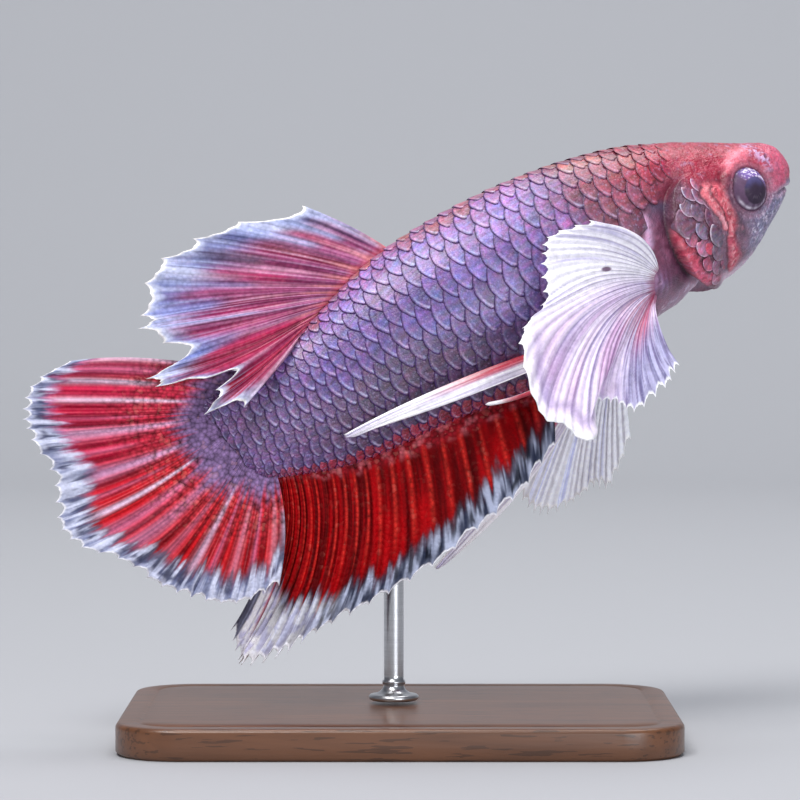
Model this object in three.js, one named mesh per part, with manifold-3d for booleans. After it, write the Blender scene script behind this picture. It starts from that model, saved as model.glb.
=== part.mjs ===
// A life-size betta (Betta splendens, plakat form with large pectoral fins) on a display stand.
// Millimetres, +Z up, the fish faces +X, and the origin is the middle of the base's underside.
// The body is one loft through upright stations, parted by thin gaps into its named pieces.
// Each fin is a ruled sheet through its control rays, given the thickness FIN_THICKNESS.

import * as THREE from 'three';
import { mergeVertices } from 'three/addons/utils/BufferGeometryUtils.js';
import Module from 'manifold-3d';

const wasm = await Module();
wasm.setup();

// ---------- driving dimensions ----------

const PART_GAP = 0.3;
const FIN_THICKNESS = 0.5;
const FIN_ROOT_DEPTH = 0.1;
const FIN_ROWS = 4;
const RING_POINTS = 24;
const RING_STEP = 0.5;
const SIMPLIFY_TOLERANCE = 0.03;
const MERGE_DISTANCE = 1e-4;

const EYE_RADIUS = 2.1;
const EYE_FLATTENING = 0.8;
const EYE_FORWARD_TURN = 15;
const EYE_STATION = 14.25;
const EYE_SIDE_OFFSET = 2.35;
const EYE_LIFT = 0.75;
const EYE_MERIDIANS = 18;
const EYE_BANDS = 10;

const GILL_COVER_RISE = 0.3;
const GILL_COVER_DEPTH = 1.2;
const GILL_POCKET_RISE = 2;
const GILL_COVER_ROWS = 9;
const GILL_COVER_COLUMNS = 5;
const JAW_CUT_NEAR_Y = -5;
const JAW_CUT_FAR_Y = 15;

const BASE_LENGTH = 44;
const BASE_WIDTH = 32;
const BASE_HEIGHT = 2.5;
const BASE_CORNER = 5;
const BASE_BEVEL = 0.4;
const ROD_DIAMETER = 1.6;
const ROD_X = -0.5;
const ROD_Y = 1.2;
const ROD_TOP = 30;
const FERRULE_DIAMETER = 4;
const FERRULE_HEIGHT = 1.2;
const ROD_SIDES = 20;

// Where the loft is parted, in stations counted from the tail end.
const TAIL_STALK_END = 4;
const TRUNK_END = 11;
const STATION_GAP = 0.12;

// ---------- the body ----------

// Each station: dorsal x and z, ventral x and z, y of the middle, half the width,
// and how square its upper and lower halves are (2 is an ellipse, less is a keel).
const STATIONS = [
  [-15.9, 26.6, -12.0, 21.6, -2.4, 0.35, 2.0, 2.0],
  [-15.3, 27.4, -10.5, 20.9, -2.4, 0.7, 2.0, 2.0],
  [-12.9, 29.0, -7.9, 21.1, -2.1, 1.4, 2.0, 1.8],
  [-9.9, 31.0, -4.8, 21.6, -1.8, 2.0, 2.0, 1.8],
  [-7.2, 33.3, -1.2, 22.8, -1.4, 2.8, 2.0, 1.7],
  [-4.0, 36.8, 2.4, 24.5, -1.0, 3.5, 2.0, 1.7],
  [-1.2, 39.2, 5.6, 25.8, -0.6, 4.0, 2.0, 1.75],
  [2.4, 41.5, 9.2, 27.1, -0.2, 4.4, 2.0, 1.85],
  [6.4, 43.6, 12.8, 28.4, 0.3, 4.7, 2.05, 2.0],
  [10.4, 45.3, 16.4, 30.3, 0.9, 4.8, 2.1, 2.1],
  [14.0, 46.5, 19.3, 32.3, 1.7, 4.8, 2.15, 2.1],
  [17.3, 47.3, 21.6, 33.9, 2.6, 4.7, 2.2, 2.1],
  [20.2, 47.6, 23.9, 35.4, 3.5, 4.6, 2.3, 2.1],
  [23.1, 47.7, 25.6, 36.2, 4.3, 4.4, 2.35, 2.1],
  [25.6, 47.7, 27.5, 37.6, 5.0, 3.9, 2.35, 2.1],
  [27.6, 47.7, 28.9, 39.4, 5.6, 3.3, 2.3, 2.1],
  [29.3, 47.7, 30.0, 41.3, 6.1, 2.65, 2.25, 2.1],
  [30.35, 47.35, 30.75, 42.8, 6.5, 2.0, 2.15, 2.1],
  [31.05, 46.75, 31.2, 43.65, 6.7, 1.3, 2.1, 2.1],
  [31.35, 45.7, 31.45, 44.45, 6.85, 0.25, 2.0, 2.0],
];
const SNOUT_STATION = STATIONS.length - 1;

// The gill cover, by its angle round the body from the back: where its free rear edge
// and its front edge lie, in stations.
const GILL_COVER_EDGE = [
  [72, 11.4, 12.5],
  [90, 11.25, 12.75],
  [108, 11.35, 13.0],
  [126, 11.55, 13.3],
  [144, 11.9, 13.5],
  [158, 12.4, 13.4],
];

// The lower jaw's side outline: mouth corner, hinge, throat, and round outside the chin.
// Each corner is x, z, and how many gaps it moves in x and in z for the head to clear the jaw.
const LOWER_JAW_OUTLINE = [
  [29.7, 43.55, -1, 1],
  [28.9, 41.6, -1, 0],
  [28.4, 38.0, -1, 0],
  [33.5, 38.0, 0, 0],
  [33.5, 44.15, 0, 1],
  [31.2, 44.05, 0, 1],
];

// ---------- the fins ----------

// Each control ray is its base, middle and tip, as x, y, z. Rays follow each other round the fin.
const DORSAL_RAYS = [
  [[-1.1, -0.6, 39.2], [-4.4, -1.0, 41.1], [-7.9, -1.4, 42.6]],
  [[-2.7, -0.8, 38.0], [-8.1, -1.6, 39.6], [-14.2, -2.4, 40.9]],
  [[-3.8, -0.9, 37.0], [-10.3, -1.9, 38.2], [-18.0, -2.6, 39.1]],
  [[-4.7, -1.0, 36.2], [-11.8, -2.2, 36.4], [-20.2, -3.0, 36.8]],
  [[-5.3, -1.1, 35.6], [-12.2, -2.6, 35.0], [-20.6, -3.7, 33.7]],
  [[-5.7, -1.1, 35.1], [-12.3, -3.0, 33.8], [-20.5, -4.2, 32.5]],
  [[-6.1, -1.2, 34.6], [-11.8, -3.4, 32.6], [-17.7, -4.8, 30.6]],
  [[-6.5, -1.2, 34.2], [-12.6, -4.0, 31.1], [-20.1, -6.2, 29.0]],
  [[-6.7, -1.3, 33.9], [-12.2, -4.1, 30.7], [-19.0, -6.2, 28.2]],
  [[-6.9, -1.3, 33.6], [-10.6, -4.1, 30.9], [-14.1, -5.6, 29.0]],
  [[-7.1, -1.4, 33.4], [-10.6, -4.2, 29.9], [-15.8, -5.6, 26.2]],
  [[-7.3, -1.4, 33.1], [-9.6, -4.4, 29.9], [-12.4, -5.6, 26.5]],
];

const TAIL_RAYS = [
  [[-15.2, -2.4, 27.6], [-20.8, -2.8, 29.9], [-26.2, -3.2, 30.2]],
  [[-15.5, -2.4, 27.1], [-22.3, -3.0, 28.3], [-29.1, -3.6, 28.5]],
  [[-15.7, -2.4, 26.4], [-23.0, -3.3, 26.2], [-29.9, -4.1, 26.2]],
  [[-15.7, -2.4, 25.6], [-22.8, -3.1, 24.6], [-29.2, -4.1, 24.1]],
  [[-15.2, -2.4, 24.6], [-21.4, -2.9, 22.4], [-27.5, -3.6, 20.9]],
  [[-14.8, -2.4, 23.9], [-20.6, -3.0, 20.3], [-27.2, -3.6, 17.6]],
  [[-14.3, -2.4, 23.2], [-19.7, -3.2, 18.7], [-25.4, -4.2, 15.6]],
  [[-13.3, -2.4, 22.2], [-17.6, -3.2, 17.3], [-21.8, -4.0, 14.3]],
  [[-12.6, -2.3, 21.8], [-15.8, -3.0, 16.4], [-18.8, -3.4, 12.2]],
  [[-11.8, -2.3, 21.4], [-13.9, -2.9, 15.8], [-15.8, -3.4, 11.1]],
  [[-10.8, -2.2, 21.2], [-11.6, -2.9, 15.8], [-12.6, -3.4, 10.9]],
  [[-9.8, -2.2, 21.2], [-9.1, -2.9, 16.9], [-9.6, -3.4, 12.3]],
];

const ANAL_RAYS = [
  [[-9.3, -1.8, 21.6], [-9.9, -0.8, 15.2], [-13.8, 0.2, 8.3]],
  [[-9.1, -1.8, 21.6], [-9.3, -1.0, 14.4], [-13.3, -0.4, 6.6]],
  [[-8.8, -1.8, 21.6], [-8.6, -1.2, 14.3], [-13.0, -1.4, 5.9]],
  [[-7.6, -1.8, 21.7], [-7.2, -1.8, 14.4], [-10.8, -2.8, 6.3]],
  [[-5.9, -1.7, 21.8], [-5.6, -2.2, 14.9], [-8.4, -3.4, 7.4]],
  [[-3.9, -1.5, 22.2], [-3.5, -2.2, 15.6], [-5.5, -3.0, 9.2]],
  [[-1.6, -1.3, 22.9], [-1.1, -2.2, 16.6], [-1.9, -2.8, 11.0]],
  [[1.4, -1.0, 24.0], [2.3, -1.7, 18.4], [2.2, -2.2, 13.4]],
  [[4.8, -0.7, 25.5], [5.8, -1.3, 20.8], [6.5, -1.8, 16.9]],
  [[8.2, -0.3, 26.9], [9.3, -0.7, 23.2], [9.8, -0.9, 19.6]],
  [[11.6, 0.1, 28.4], [12.3, 0.0, 26.4], [12.4, -0.2, 23.2]],
];

const NEAR_PECTORAL_RAYS = [
  [[20.4, -1.4, 37.4], [19.0, -4.2, 39.9], [14.8, -6.6, 41.2]],
  [[20.4, -1.5, 37.1], [16.5, -5.0, 39.2], [11.4, -7.2, 40.0]],
  [[20.3, -1.6, 36.8], [15.7, -5.4, 37.8], [10.9, -7.4, 38.0]],
  [[20.2, -1.7, 36.4], [15.3, -6.0, 36.2], [11.0, -8.2, 34.9]],
  [[20.0, -1.8, 36.0], [14.9, -7.0, 34.6], [9.1, -10.2, 32.2]],
  [[19.9, -1.8, 35.7], [15.2, -7.4, 32.9], [10.5, -11.2, 27.2]],
  [[19.9, -1.8, 35.6], [15.8, -7.4, 31.8], [12.3, -11.2, 24.8]],
  [[19.9, -1.8, 35.4], [16.5, -7.2, 31.1], [14.5, -10.6, 24.0]],
  [[19.9, -1.8, 35.3], [17.1, -6.4, 31.0], [14.7, -8.0, 26.7]],
  [[19.9, -1.8, 35.1], [18.0, -6.0, 30.8], [16.5, -7.6, 26.9]],
  [[20.0, -1.7, 35.0], [19.0, -5.6, 31.0], [18.3, -8.2, 26.4]],
  [[20.2, -1.6, 34.9], [19.9, -5.0, 31.8], [20.8, -7.6, 28.1]],
  [[20.3, -1.5, 34.9], [20.6, -4.4, 32.6], [21.9, -6.4, 29.9]],
];

const FAR_PECTORAL_RAYS = [
  [[19.2, 6.0, 37.7], [16.6, 8.8, 39.2], [12.9, 9.8, 40.2]],
  [[19.2, 6.0, 37.4], [15.8, 9.2, 36.9], [10.6, 11.0, 35.1]],
  [[19.1, 6.0, 37.1], [15.2, 9.4, 34.2], [9.1, 11.8, 29.5]],
  [[19.0, 6.0, 36.8], [14.8, 9.4, 31.6], [8.8, 12.2, 23.6]],
  [[18.9, 6.0, 36.4], [14.9, 9.2, 29.0], [10.0, 11.5, 18.2]],
  [[18.8, 5.9, 36.1], [15.2, 9.2, 27.7], [11.7, 11.5, 16.9]],
  [[18.8, 5.8, 35.9], [15.8, 9.4, 27.3], [14.0, 12.0, 17.6]],
  [[18.7, 5.7, 35.7], [16.8, 9.0, 28.0], [15.8, 10.8, 19.2]],
  [[18.7, 5.6, 35.5], [17.6, 8.5, 28.9], [17.3, 9.8, 19.3]],
  [[18.6, 5.5, 35.3], [18.4, 7.8, 30.4], [19.0, 9.0, 23.3]],
];

const NEAR_PELVIC_RAYS = [
  [[18.3, 0.7, 32.0], [6.0, -4.6, 29.3], [-4.5, -5.0, 24.4]],
  [[18.0, 0.7, 31.9], [6.1, -4.8, 28.6], [-4.3, -5.0, 24.2]],
  [[17.7, 0.7, 31.6], [6.5, -4.8, 27.9], [-3.8, -5.0, 24.4]],
];

const NEAR_PELVIC_FILAMENT_RAYS = [
  [[17.7, 0.4, 31.6], [12.0, -3.6, 28.5], [6.7, -4.8, 26.8]],
  [[17.7, 1.0, 31.6], [12.0, -3.1, 28.5], [6.7, -4.3, 26.8]],
];

const FAR_PELVIC_RAYS = [
  [[17.4, 3.2, 32.0], [10.7, 3.6, 23.3], [2.7, 3.6, 13.2]],
  [[17.1, 3.2, 31.8], [11.3, 3.7, 22.8], [3.0, 3.6, 13.1]],
  [[16.9, 3.2, 31.6], [12.0, 3.7, 22.3], [3.5, 3.6, 13.4]],
];

const FAR_PELVIC_FILAMENT_RAYS = [
  [[16.9, 2.9, 31.6], [13.1, 4.2, 26.6], [10.1, 4.6, 22.3]],
  [[16.9, 3.5, 31.6], [13.1, 4.7, 26.6], [10.1, 5.1, 22.3]],
];

const PELVIC_NOTCH = 0.1;

// ---------- materials ----------

function finish(color, roughness, metalness = 0) {
  return new THREE.MeshStandardMaterial({ color, roughness, metalness });
}

const COLOURS = {
  head: '#b0444c',
  jaw: '#9c7078',
  gill: '#9c5560',
  trunk: '#8f7fb0',
  stalk: '#7d6c92',
  eye: '#20223a',
  redFin: '#b8242e',
  dorsalFin: '#b78aa8',
  whiteFin: '#e6dcea',
  walnut: '#4a2f20',
  steel: '#b9bcc0',
};

// ---------- curves ----------

function catmullRom(before, from, to, after, f) {
  const linear = to - before;
  const square = 2 * before - 5 * from + 4 * to - after;
  const cube = 3 * from - before - 3 * to + after;
  return 0.5 * (2 * from + linear * f + square * f * f + cube * f * f * f);
}

// The smooth curve through a list of equal-length rows, at a place counted in rows.
function rowAt(rows, place) {
  const last = rows.length - 1;
  const index = Math.max(0, Math.min(last - 1, Math.floor(place)));
  const from = rows[index];
  const to = rows[index + 1];
  const before = rows[index - 1] ?? from.map((value, k) => 2 * value - to[k]);
  const after = rows[index + 2] ?? to.map((value, k) => 2 * value - from[k]);
  return from.map((value, k) => catmullRom(before[k], value, to[k], after[k], place - index));
}

function middleAt(place) {
  const [dorsalX, dorsalZ, ventralX, ventralZ, y] = rowAt(STATIONS, place);
  return new THREE.Vector3((dorsalX + ventralX) / 2, y, (dorsalZ + ventralZ) / 2);
}

// The section's own axes: up along the line from belly to back, and left across the body.
function sectionAt(place) {
  const step = 0.05;
  const [dorsalX, dorsalZ, ventralX, ventralZ, , halfWidth, crown, keel] = rowAt(STATIONS, place);
  const up = new THREE.Vector3(dorsalX - ventralX, 0, dorsalZ - ventralZ);
  const halfHeight = up.length() / 2;
  up.normalize();
  const after = middleAt(Math.min(SNOUT_STATION, place + step));
  const forward = after.sub(middleAt(Math.max(0, place - step)));
  const left = new THREE.Vector3().crossVectors(up, forward).normalize();
  return { middle: middleAt(place), up, left, halfHeight, halfWidth, crown, keel };
}

// A point of the body: the angle runs from the back (0) over the right side (90) to the belly (180).
function bodyPoint(place, degrees, grow = 0) {
  const { middle, up, left, halfHeight, halfWidth, crown, keel } = sectionAt(place);
  const angle = THREE.MathUtils.degToRad(degrees);
  const rise = Math.cos(angle);
  const reach = Math.sin(angle);
  const power = 2 / (rise > 0 ? crown : keel);
  const height = Math.sign(rise) * Math.abs(rise) ** power * (halfHeight + grow);
  const width = Math.sign(reach) * Math.abs(reach) ** power * (halfWidth + grow);
  return middle.addScaledVector(up, height).addScaledVector(left, -width);
}

// ---------- solids ----------

function solidOf(geometry) {
  const bare = geometry.clone();
  bare.deleteAttribute('normal');
  bare.deleteAttribute('uv');
  const merged = mergeVertices(bare, MERGE_DISTANCE);
  return new wasm.Manifold(new wasm.Mesh({
    numProp: 3,
    vertProperties: new Float32Array(merged.attributes.position.array),
    triVerts: new Uint32Array(merged.index.array),
  }));
}

function geometryOf(solid) {
  const { vertProperties, triVerts } = solid.simplify(SIMPLIFY_TOLERANCE).getMesh();
  const geometry = new THREE.BufferGeometry();
  geometry.setAttribute('position', new THREE.BufferAttribute(vertProperties, 3));
  geometry.setIndex(new THREE.BufferAttribute(triVerts, 1));
  geometry.computeVertexNormals();
  return geometry;
}

function solidFromFaces(points, faces) {
  return new wasm.Manifold(new wasm.Mesh({
    numProp: 3,
    vertProperties: new Float32Array(points.flatMap((point) => point.toArray())),
    triVerts: new Uint32Array(faces.flat()),
  }));
}

function largestPiece(solid) {
  const pieces = solid.decompose();
  return pieces.reduce((best, piece) => (piece.volume() > best.volume() ? piece : best));
}

// The loft between two stations, closed by a fan at each end.
function bodyLoft(start, end, grow = 0) {
  const steps = Math.ceil((end - start) / RING_STEP);
  const points = [];
  const faces = [];
  for (let ring = 0; ring <= steps; ring += 1) {
    const place = start + ((end - start) * ring) / steps;
    for (let k = 0; k < RING_POINTS; k += 1) {
      points.push(bodyPoint(place, (360 * k) / RING_POINTS, grow));
    }
  }
  const index = (ring, k) => ring * RING_POINTS + (k % RING_POINTS);
  for (let ring = 0; ring < steps; ring += 1) {
    for (let k = 0; k < RING_POINTS; k += 1) {
      faces.push([index(ring, k), index(ring, k + 1), index(ring + 1, k)]);
      faces.push([index(ring + 1, k), index(ring, k + 1), index(ring + 1, k + 1)]);
    }
  }
  const rearHub = points.push(middleAt(start)) - 1;
  const frontHub = points.push(middleAt(end)) - 1;
  for (let k = 0; k < RING_POINTS; k += 1) {
    faces.push([rearHub, index(0, k + 1), index(0, k)]);
    faces.push([frontHub, index(steps, k), index(steps, k + 1)]);
  }
  return solidFromFaces(points, faces);
}

// A closed plate between two grids of points with the same rows and columns.
function plateSolid(outer, inner) {
  const rows = outer.length;
  const columns = outer[0].length;
  const points = [...outer.flat(), ...inner.flat()];
  const faces = [];
  const front = (row, column) => row * columns + column;
  const back = (row, column) => rows * columns + front(row, column);
  const quad = (a, b, c, d) => faces.push([a, b, c], [a, c, d]);
  for (let row = 0; row < rows - 1; row += 1) {
    for (let column = 0; column < columns - 1; column += 1) {
      quad(front(row, column), front(row, column + 1),
        front(row + 1, column + 1), front(row + 1, column));
      quad(back(row, column), back(row + 1, column),
        back(row + 1, column + 1), back(row, column + 1));
    }
  }
  for (let column = 0; column < columns - 1; column += 1) {
    quad(front(0, column), back(0, column), back(0, column + 1), front(0, column + 1));
    quad(front(rows - 1, column), front(rows - 1, column + 1),
      back(rows - 1, column + 1), back(rows - 1, column));
  }
  for (let row = 0; row < rows - 1; row += 1) {
    quad(front(row, 0), front(row + 1, 0), back(row + 1, 0), back(row, 0));
    quad(front(row, columns - 1), back(row, columns - 1),
      back(row + 1, columns - 1), front(row + 1, columns - 1));
  }
  const solid = solidFromFaces(points, faces);
  return solid.volume() > 0 ? solid : solidFromFaces(points, faces.map(([a, b, c]) => [a, c, b]));
}

// A point of a fin's middle sheet: u counts control rays, v runs from the base (0) to the tip (1).
function finPoint(rays, u, v) {
  const [bases, middles, tips] = [0, 1, 2].map((k) => rowAt(rays.map((ray) => ray[k]), u));
  const weights = [2 * (v - 0.5) * (v - 1), 4 * v * (1 - v), 2 * v * (v - 0.5)];
  const at = (k) => bases[k] * weights[0] + middles[k] * weights[1] + tips[k] * weights[2];
  return new THREE.Vector3(at(0), at(1), at(2));
}

function finNormal(rays, u, v) {
  const step = 0.02;
  const uLow = Math.max(0, u - step);
  const uHigh = Math.min(rays.length - 1, u + step);
  const across = finPoint(rays, uHigh, v).sub(finPoint(rays, uLow, v));
  const along = finPoint(rays, u, v + step).sub(finPoint(rays, u, v - step));
  return across.cross(along).normalize();
}

// A fin's solid: one point per ray tip, the edge drawn in by the notch halfway between tips.
function finSolid(rays, rayCount, notch) {
  const columns = 2 * (rayCount - 1);
  const front = [];
  const back = [];
  for (let row = 0; row <= FIN_ROWS; row += 1) {
    const frontRow = [];
    const backRow = [];
    for (let column = 0; column <= columns; column += 1) {
      const u = ((rays.length - 1) * column) / columns;
      const length = finPoint(rays, u, 0).distanceTo(finPoint(rays, u, 1));
      const end = column % 2 === 0 ? 1 : 1 - notch / length;
      const v = -FIN_ROOT_DEPTH + ((end + FIN_ROOT_DEPTH) * row) / FIN_ROWS;
      const normal = finNormal(rays, u, v);
      const point = finPoint(rays, u, v);
      frontRow.push(point.clone().addScaledVector(normal, FIN_THICKNESS / 2));
      backRow.push(point.addScaledVector(normal, -FIN_THICKNESS / 2));
    }
    front.push(frontRow);
    back.push(backRow);
  }
  return plateSolid(front, back);
}

// A gill cover between two depths of the body wall, widened all round by a margin in stations.
function gillCoverSolid(side, rise, depth, margin) {
  const rows = GILL_COVER_ROWS;
  const columns = GILL_COVER_COLUMNS;
  const degreesPerMargin = 38;
  const edges = GILL_COVER_EDGE;
  const grid = (grow) => Array.from({ length: rows }, (_, row) => {
    const [degrees, rear, front] = rowAt(edges, ((edges.length - 1) * row) / (rows - 1));
    const widen = row === 0 ? -1 : Number(row === rows - 1);
    const angle = side * (degrees + widen * margin * degreesPerMargin);
    return Array.from({ length: columns }, (__, column) => {
      const share = column / (columns - 1);
      return bodyPoint(rear - 2 * margin + (front - rear + 3 * margin) * share, angle, grow);
    });
  });
  return plateSolid(grid(rise), grid(-depth));
}

// The lower jaw's outline through the whole width of the head, moved out by a gap.
function jawPrismSolid(gap) {
  const corners = LOWER_JAW_OUTLINE.map(([x, z, moveX, moveZ]) => (
    new THREE.Vector2(x + gap * moveX, z + gap * moveZ)
  ));
  const depth = JAW_CUT_FAR_Y - JAW_CUT_NEAR_Y;
  const geometry = new THREE.ExtrudeGeometry(new THREE.Shape(corners), { depth, bevelEnabled: false });
  geometry.rotateX(Math.PI / 2);
  geometry.translate(0, JAW_CUT_FAR_Y, 0);
  return solidOf(geometry);
}

function eyeballSolid(side, grow = 0) {
  const { middle, up, left } = sectionAt(EYE_STATION);
  const turn = THREE.MathUtils.degToRad(side * EYE_FORWARD_TURN);
  const outward = left.clone().applyAxisAngle(up, turn);
  const forward = new THREE.Vector3().crossVectors(outward, up);
  const geometry = new THREE.SphereGeometry(1, EYE_MERIDIANS, EYE_BANDS);
  const radius = EYE_RADIUS + grow;
  geometry.scale(radius, radius, EYE_RADIUS * EYE_FLATTENING + grow);
  geometry.applyMatrix4(new THREE.Matrix4().makeBasis(up, forward, outward));
  middle.addScaledVector(left, -side * EYE_SIDE_OFFSET).addScaledVector(up, EYE_LIFT);
  geometry.translate(middle.x, middle.y, middle.z);
  return solidOf(geometry);
}

function standBaseGeometry() {
  const halfLength = BASE_LENGTH / 2 - BASE_BEVEL;
  const halfWidth = BASE_WIDTH / 2 - BASE_BEVEL;
  const corner = BASE_CORNER - BASE_BEVEL;
  const shape = new THREE.Shape();
  shape.absarc(halfLength - corner, halfWidth - corner, corner, 0, Math.PI / 2);
  shape.absarc(corner - halfLength, halfWidth - corner, corner, Math.PI / 2, Math.PI);
  shape.absarc(corner - halfLength, corner - halfWidth, corner, Math.PI, 1.5 * Math.PI);
  shape.absarc(halfLength - corner, corner - halfWidth, corner, 1.5 * Math.PI, 2 * Math.PI);
  const geometry = new THREE.ExtrudeGeometry(shape, {
    depth: BASE_HEIGHT - 2 * BASE_BEVEL,
    bevelThickness: BASE_BEVEL,
    bevelSize: BASE_BEVEL,
    bevelSegments: 2,
    curveSegments: 6,
  });
  geometry.translate(0, 0, BASE_BEVEL);
  return geometry;
}

// The rod, turned with the ferrule that spreads its foot on the base.
function standRodSolid() {
  const start = BASE_HEIGHT + PART_GAP;
  const foot = FERRULE_DIAMETER / 2;
  const radius = ROD_DIAMETER / 2;
  const profile = [
    [0, start],
    [foot, start],
    [foot, start + FERRULE_HEIGHT / 3],
    [(foot + radius) / 2, start + FERRULE_HEIGHT / 2],
    [radius, start + FERRULE_HEIGHT],
    [radius, ROD_TOP],
    [0, ROD_TOP],
  ];
  const points = profile.map(([across, height]) => new THREE.Vector2(across, height));
  const geometry = new THREE.LatheGeometry(points, ROD_SIDES);
  geometry.rotateX(Math.PI / 2);
  geometry.translate(ROD_X, ROD_Y, 0);
  return solidOf(geometry);
}

// ---------- the model ----------

const fish = new THREE.Group();

function addPart(name, geometry, material) {
  const mesh = new THREE.Mesh(geometry, material);
  mesh.name = name;
  fish.add(mesh);
}

function addSolid(name, solid, material) {
  addPart(name, geometryOf(solid), material);
}

const clearBody = bodyLoft(0, SNOUT_STATION, PART_GAP);
const sides = { right: 1, left: -1 };

const headLoft = bodyLoft(TRUNK_END + STATION_GAP, SNOUT_STATION);
const pocketDepth = GILL_COVER_DEPTH + PART_GAP;
let skull = headLoft;
for (const [word, side] of Object.entries(sides)) {
  skull = skull.subtract(gillCoverSolid(side, GILL_POCKET_RISE, pocketDepth, STATION_GAP));
  skull = skull.subtract(eyeballSolid(side, PART_GAP));
  addSolid(`eye_${word}`, eyeballSolid(side), finish(COLOURS.eye, 0.1));
  const cover = gillCoverSolid(side, GILL_COVER_RISE, GILL_COVER_DEPTH, 0);
  addSolid(`gill_cover_${word}`, cover, finish(COLOURS.gill, 0.4));
}
const head = skull.subtract(jawPrismSolid(PART_GAP));
addSolid('head', largestPiece(head), finish(COLOURS.head, 0.4));
const lowerJaw = skull.intersect(jawPrismSolid(0));
addSolid('lower_jaw', largestPiece(lowerJaw), finish(COLOURS.jaw, 0.4));

const trunk = bodyLoft(TAIL_STALK_END + STATION_GAP, TRUNK_END);
addSolid('trunk', trunk, finish(COLOURS.trunk, 0.35));
addSolid('tail_stalk', bodyLoft(0, TAIL_STALK_END), finish(COLOURS.stalk, 0.35));

function addFin(name, solid, colour) {
  addSolid(name, largestPiece(solid.subtract(clearBody)), finish(colour, 0.45));
}

// Each fan: node name, control rays, number of real rays, notch between tips, colour.
const FANS = [
  ['dorsal_fin', DORSAL_RAYS, 15, 0.7, COLOURS.dorsalFin],
  ['tail_fin', TAIL_RAYS, 23, 0.5, COLOURS.redFin],
  ['anal_fin', ANAL_RAYS, 25, 0.4, COLOURS.redFin],
  ['pectoral_fin_right', NEAR_PECTORAL_RAYS, 21, 0.4, COLOURS.whiteFin],
  ['pectoral_fin_left', FAR_PECTORAL_RAYS, 16, 0.5, COLOURS.whiteFin],
];
for (const [name, rays, rayCount, notch, colour] of FANS) {
  addFin(name, finSolid(rays, rayCount, notch), colour);
}

// Each pelvic fin is a long blade with one short filament, joined at the root.
const PELVICS = [
  ['pelvic_fin_right', NEAR_PELVIC_RAYS, NEAR_PELVIC_FILAMENT_RAYS],
  ['pelvic_fin_left', FAR_PELVIC_RAYS, FAR_PELVIC_FILAMENT_RAYS],
];
for (const [name, bladeRays, filamentRays] of PELVICS) {
  const blade = finSolid(bladeRays, bladeRays.length, PELVIC_NOTCH);
  const filament = finSolid(filamentRays, filamentRays.length, PELVIC_NOTCH);
  addFin(name, blade.add(filament), COLOURS.whiteFin);
}

addPart('stand_base', standBaseGeometry(), finish(COLOURS.walnut, 0.5));
const rod = largestPiece(standRodSolid().subtract(clearBody));
addSolid('stand_rod', rod, finish(COLOURS.steel, 0.3, 1));

export default fish;
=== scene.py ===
import math
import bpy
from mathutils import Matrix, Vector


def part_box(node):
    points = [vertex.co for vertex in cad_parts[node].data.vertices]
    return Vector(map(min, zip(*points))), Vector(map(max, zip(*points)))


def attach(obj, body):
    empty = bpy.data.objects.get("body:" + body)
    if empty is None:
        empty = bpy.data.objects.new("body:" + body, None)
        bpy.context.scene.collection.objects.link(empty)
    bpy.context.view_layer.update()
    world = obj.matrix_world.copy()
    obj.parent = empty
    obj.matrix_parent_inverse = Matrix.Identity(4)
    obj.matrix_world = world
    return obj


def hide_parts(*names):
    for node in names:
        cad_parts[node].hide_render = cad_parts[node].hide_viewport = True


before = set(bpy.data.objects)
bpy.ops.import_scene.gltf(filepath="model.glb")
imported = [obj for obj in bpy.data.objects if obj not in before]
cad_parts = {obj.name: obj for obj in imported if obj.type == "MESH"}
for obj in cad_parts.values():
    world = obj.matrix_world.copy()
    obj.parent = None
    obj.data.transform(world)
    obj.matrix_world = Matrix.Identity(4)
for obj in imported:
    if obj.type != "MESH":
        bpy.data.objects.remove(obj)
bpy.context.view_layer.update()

from types import SimpleNamespace

import bpy
import numpy as np
from mathutils import Vector

# All shapes are worked out in millimetres in the row frame and put into Blender in metres.
MM = 0.001

# ---------- numbers, colours and noise ----------


def smooth(low, high, x):
    f = np.clip((np.asarray(x, float) - low) / (high - low), 0, 1)
    return f * f * (3 - 2 * f)


def fade(low, high, x):
    return 1 - smooth(low, high, x)


def bell(x, width):
    return np.exp(-((np.asarray(x, float) / width) ** 2))


def rgb(red, green, blue):
    """A colour given in 0 to 255 as it looks on a screen, as the linear colour a material takes."""
    c = np.array([red, green, blue], float) / 255
    return np.where(c <= 0.04045, c / 12.92, ((c + 0.055) / 1.055) ** 2.4)


def mix(a, b, w):
    return a + (b - a) * np.asarray(w, float)[..., None]


def plain(colour, like):
    return np.broadcast_to(colour, (*np.shape(like), 3))


def two_tone(low, high, share):
    """Between two screen colours: the first where share is 0, the second where it is 1."""
    return mix(plain(rgb(*low), share), rgb(*high), share)


def lattice(ix, iy, seed):
    h = np.sin(ix * 127.1 + iy * 311.7 + seed * 74.7) * 43758.5453
    return h - np.floor(h)


def noise(x, y, seed=0):
    x, y = np.broadcast_arrays(np.asarray(x, float), np.asarray(y, float))
    ix, iy = np.floor(x), np.floor(y)
    fx, fy = smooth(0, 1, x - ix), smooth(0, 1, y - iy)
    low = lattice(ix, iy, seed) * (1 - fx) + lattice(ix + 1, iy, seed) * fx
    high = lattice(ix, iy + 1, seed) * (1 - fx) + lattice(ix + 1, iy + 1, seed) * fx
    return low * (1 - fy) + high * fy


def cloud(x, y, seed=0):
    """Layered noise from 0 to 1, centred on a half."""
    broad = noise(x, y, seed) * 4 + noise(x * 2.1, y * 2.1, seed + 1) * 2
    return (broad + noise(x * 4.3, y * 4.3, seed + 2)) / 7


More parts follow.
